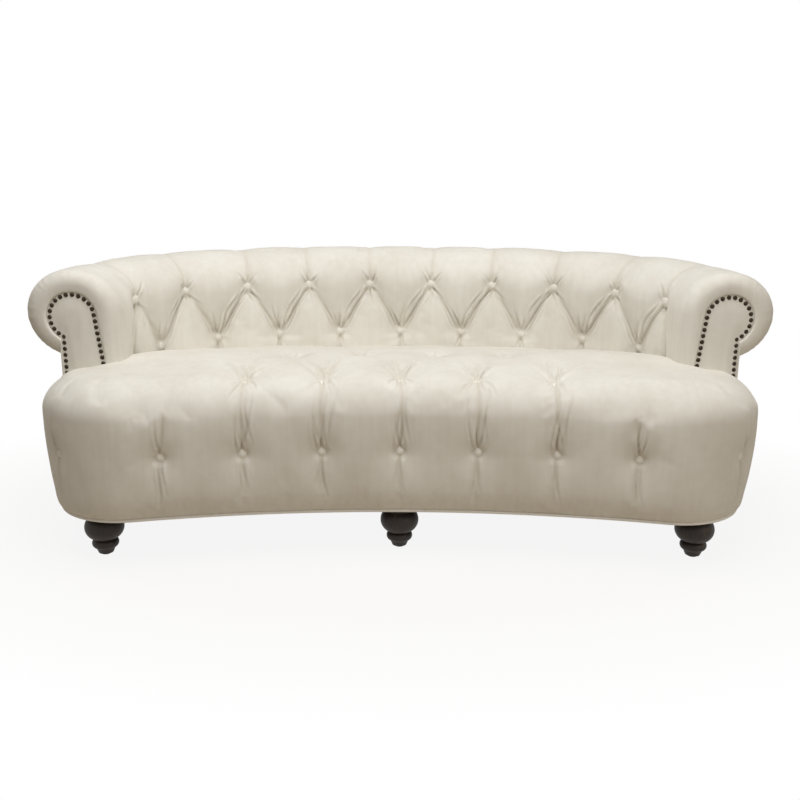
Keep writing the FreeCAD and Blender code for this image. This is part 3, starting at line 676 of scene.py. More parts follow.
@dataclass
class Relief:
    """Hollows and folds that are pressed into a padded surface, and the painted shade laid into them."""

    first: Field
    second: Field
    height: Field
    # fold: share of painted shade at each point, laid into creases, wrinkles and round buttons
    fold: Field
    held: Field
    crease_width: float = 0.006
    crease_lean: float = 1.9
    valley_reach: float = 0.042
    overlap: float = 0.12
    thread: float = 0.003
    lip_distance: float = 1.9
    wrinkle_shade: float = 0.55
    button_radius: float = 0.0165
    button_shade: float = 0.45

    @classmethod
    def flat(cls, first: Field, second: Field) -> "Relief":
        """A relief with nothing pressed in yet."""
        return cls(first, second, np.zeros(first.shape), np.zeros(first.shape), np.zeros(first.shape))

    def _near(self, start: Spot, end: Spot, reach: float) -> tuple[Field, ...]:
        """Find the points in a box round a line.

        Args:
            start: One end of the line.
            end: Its other end.
            reach: How far the box is widened.

        Returns:
            Indices of the points.
        """
        low_a, high_a = sorted((start[0], end[0]))
        low_b, high_b = sorted((start[1], end[1]))
        inside = (self.first > low_a - reach) & (self.first < high_a + reach)
        return np.nonzero(inside & (self.second > low_b - reach) & (self.second < high_b + reach))

    def pleat(self, start: Spot, end: Spot, pleat: Pleat, bow: float = 0.0) -> None:
        """Press in a pleat: a sharp crease in a wide, soft valley.

        Args:
            start: Where the pleat starts.
            end: Where it ends.
            pleat: How it is pressed in.
            bow: How far it bows to the side.
        """
        width = self.crease_width
        near = self._near(start, end, 3.0 * self.valley_reach)
        gap, share = away_from(self.first[near], self.second[near], start, end)
        gap = gap + bow * np.sin(share * math.pi)
        keep = 1.0 - pleat.fade * share
        lean = np.where(gap > 0, 1.0, self.crease_lean)
        crease = np.exp(-np.sqrt(gap ** 2 + (0.25 * width) ** 2) * lean / width)
        valley = np.exp(-(gap / self.valley_reach) ** 2)
        pressed = keep * (pleat.depth * crease + pleat.pull * valley)
        before = self.height[near]
        shared = np.minimum(pressed, np.abs(before))
        self.height[near] = np.minimum(before, -pressed) - self.overlap * shared
        # painted shade in the pleat's crease
        self.fold[near] = np.maximum(self.fold[near], keep * crease)
        self.held[near] = np.maximum(self.held[near], keep * np.exp(-(gap / width) ** 2))

    def crinkle(self, start: Spot, turn: float, wrinkle: Wrinkle) -> None:
        """Add one fine wrinkle that dies away along its length.

        Args:
            start: Where the wrinkle starts.
            turn: Its direction, clockwise from straight up, in radians.
            wrinkle: Its length and depth.
        """
        length = wrinkle.length
        end = (start[0] + length * math.sin(turn), start[1] + length * math.cos(turn))
        near = self._near(start, end, 5.0 * self.thread)
        gap, share = away_from(self.first[near], self.second[near], start, end)
        gap = np.abs(gap + 0.03 * length * np.sin(share * 5.0 + turn * 9.0))
        strength = np.sin(np.clip(share, 0.03, 1.0) ** 0.6 * math.pi)
        line = np.exp(-(gap / self.thread) ** 2)
        lips = np.exp(-((gap - self.lip_distance * self.thread) / self.thread) ** 2)
        self.height[near] -= wrinkle.depth * strength * (line - 0.5 * lips)
        # painted shade along the wrinkle
        self.fold[near] = np.maximum(self.fold[near], self.wrinkle_shade * strength * line)

    def fan(self, place: Spot, fan: Fan, number: int) -> None:
        """Add fine wrinkles that fan out from a button.

        Args:
            place: Centre of the button.
            fan: The wrinkles.
            number: Which button of its row it is.
        """
        seed = number * fan.variety + fan.start
        for index in range(fan.count):
            swing = math.sin(seed * 3.1 + index * 2.4)
            turn = fan.way.value + fan.spread * ((index + 0.5) / fan.count - 0.5) + 0.07 * swing
            length = fan.length * (1.0 + 0.28 * math.sin(seed + index * 4.7))
            self.crinkle(place, turn, Wrinkle(length, fan.depth * (1.0 + 0.3 * swing)))

    def tuft(self, place: Spot, tuft: Tuft, number: int) -> None:
        """Press in a button's soft hollow and the wrinkles round it.

        Args:
            place: Centre of the button.
            tuft: What the button does to the cloth.
            number: Which button of its row it is.
        """
        near = self._near(place, place, 3.0 * tuft.reach)
        gap = np.hypot(self.first[near] - place[0], self.second[near] - place[1])
        self.height[near] -= tuft.depth * np.exp(-(gap / tuft.reach) ** 2)
        for fan in tuft.fans:
            self.fan(place, fan, number)

    def tie(self, place: Spot, depth: float) -> None:
        """Hold the cloth under a button at a set depth.

        Args:
            place: Centre of the button.
            depth: Depth below the plain surface.
        """
        near = self._near(place, place, 3.0 * self.button_radius)
        gap = np.hypot(self.first[near] - place[0], self.second[near] - place[1])
        held = np.exp(-(gap / self.button_radius) ** 4)
        self.height[near] = self.height[near] * (1.0 - held) - depth * held
        # painted shade round the button
        self.fold[near] = np.maximum(self.fold[near], self.button_shade * held)
        self.held[near] = np.maximum(self.held[near], held)

    def hem(self, columns: int, low: int, high: int) -> None:
        """Hold the border of the cloth.

        Args:
            columns: Columns that are held at both ends.
            low: Rows that are held at the foot.
            high: Rows that are held at the top.
        """
        self.held[:columns] = 1.0
        self.held[self.held.shape[0] - columns:] = 1.0
        self.held[:, :low] = 1.0
        self.held[:, self.held.shape[1] - high:] = 1.0


def gridded(name: str, points: Field, marks: dict[str, Field]) -> bpy.types.Mesh:
    """Mesh of one grid whose vertices are moved to given points.

    Args:
        name: Name of the mesh.
        points: Columns by rows by XYZ.
        marks: Values per point by attribute name.

    Returns:
        The mesh.
    """
    columns, rows = points.shape[:2]
    grid = bmesh.new()
    bmesh.ops.create_grid(grid, x_segments=columns - 1, y_segments=rows - 1, size=1.0)
    mesh = bpy.data.meshes.new(name)
    grid.to_mesh(mesh)
    grid.free()
    flat = np.zeros(len(mesh.vertices) * 3)
    mesh.vertices.foreach_get("co", flat)
    flat = flat.reshape(-1, 3)
    column = np.rint((flat[:, 0] + 1.0) / 2.0 * (columns - 1)).astype(int)
    row = np.rint((flat[:, 1] + 1.0) / 2.0 * (rows - 1)).astype(int)
    mesh.vertices.foreach_set("co", points[column, row].ravel())
    for mark, values in marks.items():
        layer = mesh.attributes.new(mark, "FLOAT", "POINT")
        layer.data.foreach_set("value", values[column, row].ravel())
    return mesh


@dataclass(frozen=True)
class Swelling:
    """Cloth simulation that lets a padded surface swell between its buttons and pleats."""

    stride: int = 3
    frames: int = 16
    quality: int = 6
    pressure: float = 4.0
    surplus: float = 0.004
    cap: float = 0.005

    def run(self, surface: Field, held: Field) -> Field:
        """Swell one surface.

        Args:
            surface: Outer surface, as columns by rows by XYZ.
            held: How firmly each point is held, from 0 to 1.

        Returns:
            The surface after the simulation.
        """
        sizes = surface.shape[:2]
        picks = [np.unique(np.append(np.arange(0, size, self.stride), size - 1)) for size in sizes]
        coarse = surface[np.ix_(*picks)]
        shift = self._swollen(coarse, held[np.ix_(*picks)]) - coarse
        length = np.linalg.norm(shift, axis=2, keepdims=True)
        shift *= self.cap * np.tanh(length / self.cap) / np.maximum(length, TINY)
        LOG.info("swelling: up to %.1f mm", 1000.0 * float(np.linalg.norm(shift, axis=2).max()))
        spread = [np.stack([np.interp(np.arange(size), pick, unit) for unit in np.eye(len(pick))], axis=1)
                  for size, pick in zip(sizes, picks)]
        fine = np.einsum("ua,abk,vb->uvk", spread[0], shift, spread[1], optimize=True)
        for axis in (0, 1, 0, 1):
            fine = (np.roll(fine, 1, axis) + 2.0 * fine + np.roll(fine, -1, axis)) / 4.0
        return surface + fine * (1.0 - np.clip(held, 0.0, 1.0))[..., None]

    def _swollen(self, coarse: Field, held: Field) -> Field:
        """Run the simulation on a coarse surface.

        Args:
            coarse: The surface, as columns by rows by XYZ.
            held: How firmly each point is held, from 0 to 1.

        Returns:
            Its points after the last frame.
        """
        column, row = np.indices(held.shape).astype(float)
        mesh = gridded("swelling", coarse, {"held": held, "column": column, "row": row})
        sheet = bpy.data.objects.new("swelling", mesh)
        bpy.context.scene.collection.objects.link(sheet)
        group = sheet.vertex_groups.new(name="held")
        for index, value in enumerate(self._read(mesh, "held")):
            group.add([index], float(value), "REPLACE")
        cloth = sheet.modifiers.new("cloth", "CLOTH")
        cloth.settings.quality = self.quality
        cloth.settings.use_pressure = True
        cloth.settings.uniform_pressure_force = self.pressure
        cloth.settings.shrink_min = -self.surplus
        cloth.settings.vertex_group_mass = "held"
        cloth.settings.effector_weights.gravity = 0.0
        cloth.point_cache.frame_end = self.frames
        for moment in range(1, self.frames + 1):
            bpy.context.scene.frame_set(moment)
        shaped = sheet.evaluated_get(bpy.context.evaluated_depsgraph_get()).data
        moved = np.zeros(len(shaped.vertices) * 3)
        shaped.vertices.foreach_get("co", moved)
        columns = self._read(mesh, "column").astype(int)
        rows = self._read(mesh, "row").astype(int)
        result = np.zeros(coarse.shape)
        result[columns, rows] = moved.reshape(-1, 3)
        bpy.data.objects.remove(sheet)
        bpy.data.meshes.remove(mesh)
        bpy.context.scene.frame_set(1)
        return result

    @staticmethod
    def _read(mesh: bpy.types.Mesh, mark: str) -> Field:
        """Read one attribute of a mesh.

        Args:
            mesh: The mesh.
            mark: Name of the attribute.

        Returns:
            Its value at each vertex.
        """
        values = np.zeros(len(mesh.vertices))
        mesh.attributes[mark].data.foreach_get("value", values)
        return values


def wrapped(name: str, base: Field, relief: Relief, lining: Field,
            swelling: Optional[Swelling] = None) -> bpy.types.Object:
    """Wrap one grid into a closed padded form.

    Args:
        name: Name of the piece.
        base: Plain outer surface, as columns by rows by XYZ.
        relief: What is pressed into the outer surface.
        lining: Hidden inner surface, from the last row of the base back to the first.
        swelling: Simulation that the outer surface goes through, if any.

    Returns:
        The piece.
    """
    across = np.cross(np.gradient(base, axis=0), np.gradient(base, axis=1))
    across /= np.maximum(np.linalg.norm(across, axis=2, keepdims=True), TINY)
    outer = base + across * relief.height[..., None]
    if swelling is not None:
        outer = swelling.run(outer, relief.held)
    rows = np.concatenate([outer, lining, outer[:, :1]], axis=1)
    # the fold share, painted shade, goes to the mesh as its fold attribute; the hidden lining gets none
    shade = np.concatenate([relief.fold, np.zeros(lining.shape[:2]), relief.fold[:, :1]], axis=1)
    mesh = gridded(name, rows, {"fold": shade})
    form = bmesh.new()
    form.from_mesh(mesh)
    bmesh.ops.remove_doubles(form, verts=form.verts, dist=MERGE_DISTANCE)
    inner = [face for face in form.faces if sum(len(edge.link_faces) > 2 for edge in face.edges) > 1]
    bmesh.ops.delete(form, geom=inner, context="FACES")
    bmesh.ops.holes_fill(form, edges=[edge for edge in form.edges if edge.is_boundary], sides=0)
    bmesh.ops.recalc_face_normals(form, faces=form.faces)
    for face in form.faces:
        face.smooth = True
    form.to_mesh(mesh)
    form.free()
    piece = bpy.data.objects.new(name, mesh)
    bpy.context.scene.collection.objects.link(piece)
    return piece


def settle(piece: bpy.types.Object, material: bpy.types.Material,
           nodes: tuple[str, ...]) -> bpy.types.Object:
    """Dress a new piece and tie it to the frame.

    Args:
        piece: The new piece.
        material: Its finish.
        nodes: CAD nodes that it stands for.

    Returns:
        The piece.
    """
    piece.data.materials.clear()
    piece.data.materials.append(material)
    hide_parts(*nodes)
    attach(piece, "root")
    LOG.info("piece %s: %d faces", piece.name, len(piece.data.polygons))
    return piece


@dataclass
class Facing:
    """Slightly full panel on the front of each arm, inside its gathered border."""

    plan: Plan
    cloth: bpy.types.Material
    head_offset: float = 0.122
    head_height: float = 0.598
    head_radius: float = 0.065
    foot_offset: float = 0.03
    foot_height: float = 0.38
    outer_offset: float = 0.154
    front: float = -0.2348
    back: float = -0.2288
    fullness: float = 0.004
    flat_share: float = 0.1
    full_share: float = 0.75
    side_rows: int = 40
    head_rows: int = 48
    ring_rows: int = 16

    def outline(self, share: Field) -> Field:
        """Outline of the right-hand facing.

        Args:
            share: 0 at the inner foot, 1 and 2 at the ends of the head, 3 at the outer foot.

        Returns:
            The points, on the panel's front plane.
        """
        radius = self.head_radius
        foot = np.array([self.foot_offset, self.foot_height])
        centre = np.array([self.head_offset, self.head_height])
        reach = centre - foot
        distance = float(np.hypot(*reach))
        lean = math.atan2(reach[1], reach[0]) + math.asin(radius / distance)
        straight = math.sqrt(distance ** 2 - radius ** 2)
        touch = foot + np.array([math.cos(lean), math.sin(lean)]) * straight
        dip = math.acos((self.outer_offset - self.head_offset) / radius)
        turn = lean + math.pi / 2 - (lean + math.pi / 2 + dip) * np.clip(share - 1.0, 0.0, 1.0)
        side = foot + (touch - foot) * np.clip(share, 0.0, 1.0)[:, None]
        head = centre + radius * np.stack([np.cos(turn), np.sin(turn)], axis=1)
        offset, height = np.where(share[:, None] <= 1.0, side, head).T
        height = height + (self.foot_height - height) * np.clip(share - 2.0, 0.0, 1.0)
        return spots(self.plan.inner_half_width + offset, self.front, height)

    def build(self) -> None:
        """Build both facings."""
        share = stretches(self.side_rows, self.head_rows, self.side_rows)
        edge = self.outline(share)
        rise = np.minimum(np.minimum(share, 3.0 - share), 1.0)
        middle = (self.foot_offset + self.outer_offset) / 2
        spine = spots(self.plan.inner_half_width + middle + (self.head_offset - middle) * rise, self.front,
                      self.foot_height + (self.head_height - self.foot_height) * rise)
        steps = np.linspace(0.0, 1.0, self.ring_rows)
        rows = [edge * (1 - step) + spine * step for step in steps]
        for row, lift in zip(rows, self.fullness * eased(steps, self.flat_share, self.full_share)):
            row[:, 1] -= lift
        base = np.stack([moved_to(edge, self.back)] + rows, axis=1)
        hidden = moved_to(spine, self.back)
        for side, way in (("left", MIRROR), ("right", np.ones(3))):
            relief = Relief.flat(base[..., 0], base[..., 2])
            piece = wrapped("arm_facing_" + side, base * way, relief, hidden[:, None] * way)
            settle(piece, self.cloth, ("arm_facing_panel_" + side,))


@dataclass
class BackRoll:
    """Padded back and arms: one continuous buttoned roll with rounded, gathered arm fronts."""

    plan: Plan
    facing: "Facing"
    cloth: bpy.types.Material
    roll_radius: float = 0.118
    roll_height: float = 0.606
    foot_height: float = 0.3
    padding: float = 0.043
    end_radius: float = 0.04
    end_foot: float = 0.38
    post_edge: float = 0.008
    pitch: float = 0.185
    upper_height: float = 0.618
    lower_height: float = 0.472
    button_depth: float = 0.0165
    crest: float = 0.001
    fullness: float = 0.009
    full_place: float = 1.72
    full_width: float = 0.22
    arm_drop: float = 0.009
    drop_place: float = 1.36
    drop_width: float = 0.2
    low_count: int = 9
    high_count: int = 10
    foot_pleat: Pleat = Pleat(0.006, 0.009)
    last_foot_pleat: Pleat = Pleat(0.015, 0.014)
    left_pleat: Pleat = Pleat(0.004, 0.0115)
    right_pleat: Pleat = Pleat(0.006, 0.0115)
    diamond_bow: float = 0.0015
    crown_pleat: Pleat = Pleat(0.007, 0.009, 0.85)
    crown_reach: float = 0.26
    crown_bow: float = 0.005
    arm_pleat: Pleat = Pleat(0.014, 0.014, 0.1)
    arm_lean: float = 0.03
    arm_bow: float = 0.012
    low_tuft: Tuft = Tuft(0.008, 0.03, (Fan(Way.UP, 1.1, 6, 0.08, 1.7), Fan(Way.DOWN, 0.9, 3, 0.045, 2.1)))
    high_tuft: Tuft = Tuft(0.008, 0.03, (Fan(Way.UP, 1.5, 5, 0.055, 2.9, start=1.0),
                                         Fan(Way.DOWN, 1.7, 6, 0.05, 1.3)))
    wrinkle_start: float = 0.012
    low_shifts: tuple[float, ...] = (0.009, 0.018)
    high_shifts: tuple[float, ...] = (0.008, 0.017, 0.026)
    right_wrinkle: Wrinkle = Wrinkle(0.15, 0.005)
    left_wrinkle: Wrinkle = Wrinkle(0.1, 0.0034)
    high_wrinkle: Wrinkle = Wrinkle(0.1, 0.005)
    bumps: tuple[Bumps, ...] = (Bumps(0.0022, 3.0, 4.0, 0.7), Bumps(0.0009, 11.0, 9.0, 2.1))
    calm_start: float = 0.3
    calm_end: float = 0.46
    calm_share: float = 0.85
    gather_depth: float = 0.0006
    gather_waves: float = 300.0
    fade_length: float = 0.05
    post_tuck: float = 0.004
    rim_dish: float = 0.003
    shell_gap: float = 0.005
    columns: int = 760
    wall_rows: int = 84
    roll_rows: int = 130
    lining_rows: int = 14
    end_columns: int = 12
    rim_columns: int = 5
    post_rows: int = 18

    @property
    def lows(self) -> list[float]:
        """Places of the lower buttons along the inside line."""
        return evenly(self.low_count, self.pitch)

    @property
    def highs(self) -> list[float]:
        """Places of the upper buttons along the inside line."""
        return evenly(self.high_count, self.pitch)

    @property
    def dip(self) -> float:
        """Angle below the level at which the roll meets the outside cover."""
        return math.acos((self.plan.shell_offset - self.roll_radius) / self.roll_radius)

    def section(self, share: Field, inset: Field, foot: float) -> tuple[Field, Field]:
        """Offset and height of the outer surface.

        Args:
            share: 0 at the foot to 1 where the wall meets the roll, 2 at the neck, 3 at the outer foot.
            inset: How far the outline is drawn in.
            foot: Height of the foot.

        Returns:
            The offsets and heights.
        """
        outer = self.plan.shell_offset - inset * self.post_edge / self.end_radius
        radius = self.roll_radius - inset
        dip = np.arccos(np.clip((outer - self.roll_radius) / radius, -1.0, 1.0))
        turn = math.pi - (math.pi + dip) * np.clip(share - 1.0, 0.0, 1.0)
        on_wall = share <= 1.0
        offset = np.where(on_wall, inset, self.roll_radius + radius * np.cos(turn))
        rise = foot + (self.roll_height - foot) * share
        height = np.where(on_wall, rise, self.roll_height + radius * np.sin(turn))
        return offset, height + (foot - height) * np.clip(share - 2.0, 0.0, 1.0)

    def ring(self, share: Field, inset: float, front: float) -> Field:
        """One closed outline of an arm's front end.

        Args:
            share: Places on the section.
            inset: How far the outline is drawn in.
            front: Distance before the place where the arm starts to round off.

        Returns:
            Points of the right-hand arm.
        """
        offset, height = self.section(share, np.full(share.shape, inset), self.end_foot)
        return spots(self.plan.inner_half_width + offset, self.plan.arm_y - front, height)

    def front_end(self, share: Field, turns: Field) -> Field:
        """Outlines of the right-hand arm's rounded front, drawn in to the edge of its facing.

        Args:
            share: Places on the section.
            turns: How far round the front each outline lies, in radians.

        Returns:
            The outlines, as columns by rows by XYZ.
        """
        rings = []
        for turn in turns:
            inset = self.end_radius * (1 - math.cos(turn))
            rings.append(self.ring(share, inset, self.end_radius * math.sin(turn)))
        last = rings[-1]
        edge = self.facing.outline(share)
        for step in np.linspace(0.0, 1.0, self.rim_columns + 1)[1:]:
            blend = last * (1 - step) + edge * step
            blend[:, 1] = last[:, 1] + self.rim_dish * step ** 2
            rings.append(blend)
        rings.append(moved_to(edge, self.facing.back))
        return np.stack(rings)

    def lining(self, run: Field, right: Field) -> Field:
        """Hidden inner surface of the padding.

        Args:
            run: Distance along the inside line for each column of the roll.
            right: Outlines of the right-hand arm's front.

        Returns:
            The surface, as columns by rows by XYZ.
        """
        along, places = np.meshgrid(run, np.linspace(2, 0, self.lining_rows), indexing="ij")
        offset, height = self.section(places, np.full(along.shape, self.padding), self.foot_height)
        x, y = self.plan.inside(along, np.minimum(offset, self.plan.shell_offset - self.shell_gap))
        steps = np.linspace(0, 1, self.lining_rows + 2)[1:-1, None]
        floor = right[:, -1:] * (1 - steps) + right[:, :1] * steps
        return np.concatenate([floor[::-1] * MIRROR, spots(x, y, height), floor])

    def build(self) -> bpy.types.Object:
        """Build the roll.

        Returns:
            The padded piece.
        """
        half = self.plan.half_length
        share = stretches(self.wall_rows, self.roll_rows, self.post_rows)
        run = np.linspace(-half, half, self.columns)
        along, places = np.meshgrid(run, share, indexing="ij")
        offset, height = self.section(np.minimum(places, 2.0), np.zeros(along.shape), self.foot_height)
        x, y = self.plan.inside(along, offset - np.clip(places - 2.0, 0.0, 1.0) * self.post_tuck)
        turns = np.linspace(0.0, math.pi / 2, self.end_columns + 1)[1:]
        right = self.front_end(share, turns)
        base = np.concatenate([right[::-1] * MIRROR, spots(x, y, height), right])
        drawn = np.concatenate([np.sin(turns), np.ones(self.rim_columns + 1)])
        ends = half + self.end_radius * drawn
        along, places = np.meshgrid(np.concatenate([-ends[::-1], run, ends]), share, indexing="ij")
        relief = self.relief(along, places, len(right))
        piece = wrapped("back_and_arms", base, relief, self.lining(run, right), Swelling())
        return settle(piece, self.cloth,
                      ("inside_back_cover", "back_foam", "inside_arm_cover_left", "inside_arm_cover_right",
                       "arm_foam_left", "arm_foam_right"))

    def press_pleats(self, relief: Relief, lower: float, upper: float) -> None:
        """Press in the diamonds' pleats, those over the roll and those at the arms.

        Args:
            relief: Relief of the roll.
            lower: Distance up the section to the lower buttons.
            upper: Distance up the section to the upper buttons.
        """
        for number, spot in enumerate(self.lows):
            last = number in (0, self.low_count - 1)
            relief.pleat((spot, lower), (spot, 0.0), self.last_foot_pleat if last else self.foot_pleat)
            for sign, pleat in ((-1.0, self.left_pleat), (1.0, self.right_pleat)):
                end = (spot + sign * 0.5 * self.pitch, upper)
                relief.pleat((spot, lower), end, pleat, sign * self.diamond_bow)
        for number, spot in enumerate(self.highs):
            bow = self.crown_bow * math.sin(number * 2.3)
            relief.pleat((spot, upper), (spot, upper + self.crown_reach), self.crown_pleat, bow)
        for sign, spot in ((-1.0, self.highs[0]), (1.0, self.highs[-1])):
            foot = (spot + sign * self.arm_lean, 0.0)
            relief.pleat((spot, upper), foot, self.arm_pleat, sign * self.arm_bow)

    def press_buttons(self, relief: Relief, lower: float, upper: float) -> None:
        """Press in the hollows at the buttons and the wrinkles that run from them.

        Args:
            relief: Relief of the roll.
            lower: Distance up the section to the lower buttons.
            upper: Distance up the section to the upper buttons.
        """
        slant = math.atan2(0.5 * self.pitch, upper - lower)
        for number, spot in enumerate(self.lows):
            relief.tuft((spot, lower), self.low_tuft, number)
            for shift in self.low_shifts:
                start = lower + self.wrinkle_start
                relief.crinkle((spot + shift, start), slant, self.right_wrinkle)
                relief.crinkle((spot - shift, start), -slant, self.left_wrinkle)
        for number, spot in enumerate(self.highs):
            relief.tuft((spot, upper), self.high_tuft, number)
            for shift in self.high_shifts:
                start = (spot - shift, upper - self.wrinkle_start)
                relief.crinkle(start, math.pi + slant, self.high_wrinkle)

    def round_off(self, relief: Relief, share: Field, ends: int) -> None:
        """Let the relief run out towards the arms' fronts, fill the arms and gather the cloth at the ends.

        Args:
            relief: Relief of the roll.
            share: Place on the section.
            ends: Columns that belong to each arm's front end.
        """
        run, rise = np.abs(relief.first), relief.second
        half = self.plan.half_length
        past = np.clip((run - half) / self.end_radius, 0.0, 1.0)
        waves = np.cos(rise * self.gather_waves + 2.6 * np.sin(rise * 41.0))
        gather = waves * self.gather_depth * np.sin(past * math.pi)
        gather = gather * eased(share, 0.95, 1.2) * (0.6 + 0.4 * np.sin(rise * 67.0))
        keep = 1.0 - eased(run, half - self.fade_length, half + self.end_radius)
        outer = np.exp(-((share - self.full_place) / self.full_width) ** 2)
        top = np.exp(-((share - self.drop_place) / self.drop_width) ** 2)
        full = eased(run, self.plan.back_length, self.plan.bend_length) * (1.0 - past ** 2)
        full = full * (self.fullness * outer - self.arm_drop * top)
        relief.height = (relief.height * keep + gather) * (share <= 2.0) + full
        relief.height[:self.rim_columns + 1] = 0.0
        relief.height[-self.rim_columns - 1:] = 0.0
        # no painted fold shade on the arms' front ends
        relief.fold[:ends] = 0.0
        relief.fold[-ends:] = 0.0

    def relief(self, along: Field, share: Field, ends: int) -> Relief:
        """Diamond buttoning on the wall and pleats over the roll.

        Args:
            along: Distance along the inside line.
            share: Place on the section.
            ends: Columns that belong to each arm's front end.

        Returns:
            The relief.
        """
        wall = self.roll_height - self.foot_height
        arc = self.roll_radius * (math.pi + self.dip)
        rise = np.where(share <= 1.0, share * wall, wall + (np.minimum(share, 2.0) - 1.0) * arc)
        relief = Relief.flat(along, rise)
        upper = self.upper_height - self.foot_height
        lower = self.lower_height - self.foot_height
        self.press_pleats(relief, lower, upper)
        self.press_buttons(relief, lower, upper)
        uneven = sum(bump.over(along, rise) for bump in self.bumps)
        calm = self.calm_share * eased(rise, wall + self.calm_start, wall + self.calm_end)
        relief.height = (relief.height + self.crest + uneven) * (1.0 - calm)
        for spot in self.lows:
            relief.tie((spot, lower), self.button_depth)
        for spot in self.highs:
            relief.tie((spot, upper), self.button_depth)
        self.round_off(relief, share, ends)
        relief.hem(ends, 4, self.post_rows + 6)
        return relief


@dataclass
class Seat:
    """Tight seat: full front over the piped edge, pleats over the nose, fanned folds on the top."""

    plan: Plan
    cloth: bpy.types.Material
    base_height: float = 0.13
    seat_height: float = 0.466
    front_bulge: float = 0.028
    nose_depth: float = 0.085
    nose_height: float = 0.081
    deck_height: float = 0.262
    crown: float = 0.008
    crest: float = 0.004
    front_depth: float = 0.0145
    top_depth: float = 0.019
    pitch: float = 0.194
    front_row_height: float = 0.288
    second_row_inset: float = 0.092
    third_row_inset: float = 0.33
    corner_heading: float = 45.0
    level_depth: float = 0.306
    fall: float = 0.045
    fall_ease: float = 0.05
    full_span: float = 0.5
    back_gap: float = 0.0003
    rim_inset: float = 0.1
    lip_gap: float = 0.004
    lip_rise: float = 0.001
    second_count: int = 5
    third_count: int = 4
    nose_pleat: Pleat = Pleat(0.005, 0.006)
    nose_bow: float = 0.004
    nose_shifts: tuple[float, ...] = (-0.013, 0.011, 0.021)
    nose_step: float = 0.015
    nose_wrinkle: Wrinkle = Wrinkle(0.16, 0.0029)
    side_pleat: Pleat = Pleat(0.007, 0.0015, 1.0)
    side_lean: float = 0.02
    side_reach: float = 0.15
    side_bow: float = 0.002
    front_pleat: Pleat = Pleat(0.002, 0.005, 0.9)
    front_lean: float = 0.006
    front_tuft: Tuft = Tuft(0.006, 0.034, (Fan(Way.DOWN, 0.35, 4, 0.11, 2.2, 0.0024),
                                           Fan(Way.UP, 0.3, 4, 0.1, 1.4, 0.0028)))
    second_tuft: Tuft = Tuft(0.009, 0.036, (Fan(Way.UP, 1.5, 7, 0.13, 1.3, 0.0055, 0.5),
                                            Fan(Way.DOWN, 1.2, 5, 0.08, 2.7, 0.0045)))
    third_tuft: Tuft = Tuft(0.016, 0.045, (Fan(Way.UP, 2 * math.pi, 9, 0.06, 0.9),))
    bumps: tuple[Bumps, ...] = (Bumps(0.0025, 3.0, 3.4, 1.4), Bumps(0.0008, 12.0, 8.0, 0.3))
    bump_ease: float = 0.05
    crest_ease: float = 0.06
    corner_ease: float = 0.15
    columns: int = 740
    band_rows: int = 84
    nose_rows: int = 44
    top_rows: int = 120

    def profile(self) -> tuple[Field, Field]:
        """Inset and height of the front from the piping to the top of the nose.

        Returns:
            The insets and heights.
        """
        bulge = self.seat_height - self.nose_height
        turn = np.linspace(0, math.pi / 2, self.band_rows)
        low_inset = self.front_bulge * (1 - np.sin(turn))
        low_height = bulge - (bulge - self.base_height) * np.cos(turn)
        turn = np.linspace(0, math.pi / 2, self.nose_rows)[1:]
        high_inset = self.nose_depth * (1 - np.cos(turn))
        high_height = bulge + self.nose_height * np.sin(turn)
        return np.concatenate([low_inset, high_inset]), np.concatenate([low_height, high_height])

    def build(self) -> bpy.types.Object:
        """Build the seat.

        Returns:
            The padded piece.
        """
        plan = self.plan
        along = np.linspace(-plan.seat_run, plan.seat_run, self.columns)
        inset, height = self.profile()
        front = spots(*plan.seat_edge(*np.meshgrid(along, inset, indexing="ij")), height)
        inside_run = along / plan.seat_run * plan.half_length
        back = spots(*plan.inside(inside_run, np.full(along.shape, -self.back_gap)), self.seat_height)
        base = np.concatenate([front, self.top(front[:, -1], back)], axis=1)
        path = np.concatenate([[0.0], np.cumsum(np.hypot(np.diff(inset), np.diff(height)))])
        relief = self.relief(along, inset, base, path)

        low_back = spots(back[:, 0], back[:, 1], self.deck_height)
        rim = spots(*plan.seat_edge(along, np.full(along.shape, self.rim_inset)), self.deck_height)
        lip_inset = np.full(along.shape, self.front_bulge + self.lip_gap)
        lip = spots(*plan.seat_edge(along, lip_inset), self.base_height + self.lip_rise)
        piece = wrapped("seat", base, relief, np.stack([low_back, rim, lip], axis=1), Swelling())
        return settle(piece, self.cloth, ("seat_cover", "seat_foam"))

    def top(self, edge: Field, back: Field) -> Field:
        """Plain top of the seat: level at the front, crowned, and falling towards the back.

        Args:
            edge: Points where the nose meets the top.
            back: Points on the inside line of the back.

        Returns:
            The surface, as columns by rows by XYZ.
        """
        share = np.linspace(0, 1, self.top_rows)[1:]
        top = edge[:, None] + (back - edge)[:, None] * share[None, :, None]
        start_y = self.plan.front_sag - self.plan.half_depth + self.level_depth
        behind = (top[..., 1] - start_y) / (self.plan.inside_y - start_y)
        soft = 0.5 * (behind + np.sqrt(behind ** 2 + self.fall_ease ** 2))
        span = np.clip(np.linalg.norm(back - edge, axis=1) / self.full_span, 0.0, 1.0) ** 2
        top[..., 2] += self.crown * span[:, None] * np.sin(share * math.pi)[None, :] - self.fall * soft
        return top

    def outer_buttons(self, sunk: float) -> tuple[list[float], list[float]]:
        """Places of the front's outer buttons along its outline.

        Args:
            sunk: How far the outline is drawn in at the height of the buttons.

        Returns:
            The places at the ends of the hollow front and those in the corners.
        """
        bend = self.plan.front_radius + sunk
        turn = self.plan.front_angle + math.radians(self.corner_heading)
        side = bend * math.asin(3 * self.pitch / bend)
        corner = bend * self.plan.front_angle + (self.plan.seat_corner_radius - sunk) * turn
        return [-side, side], [-corner, corner]

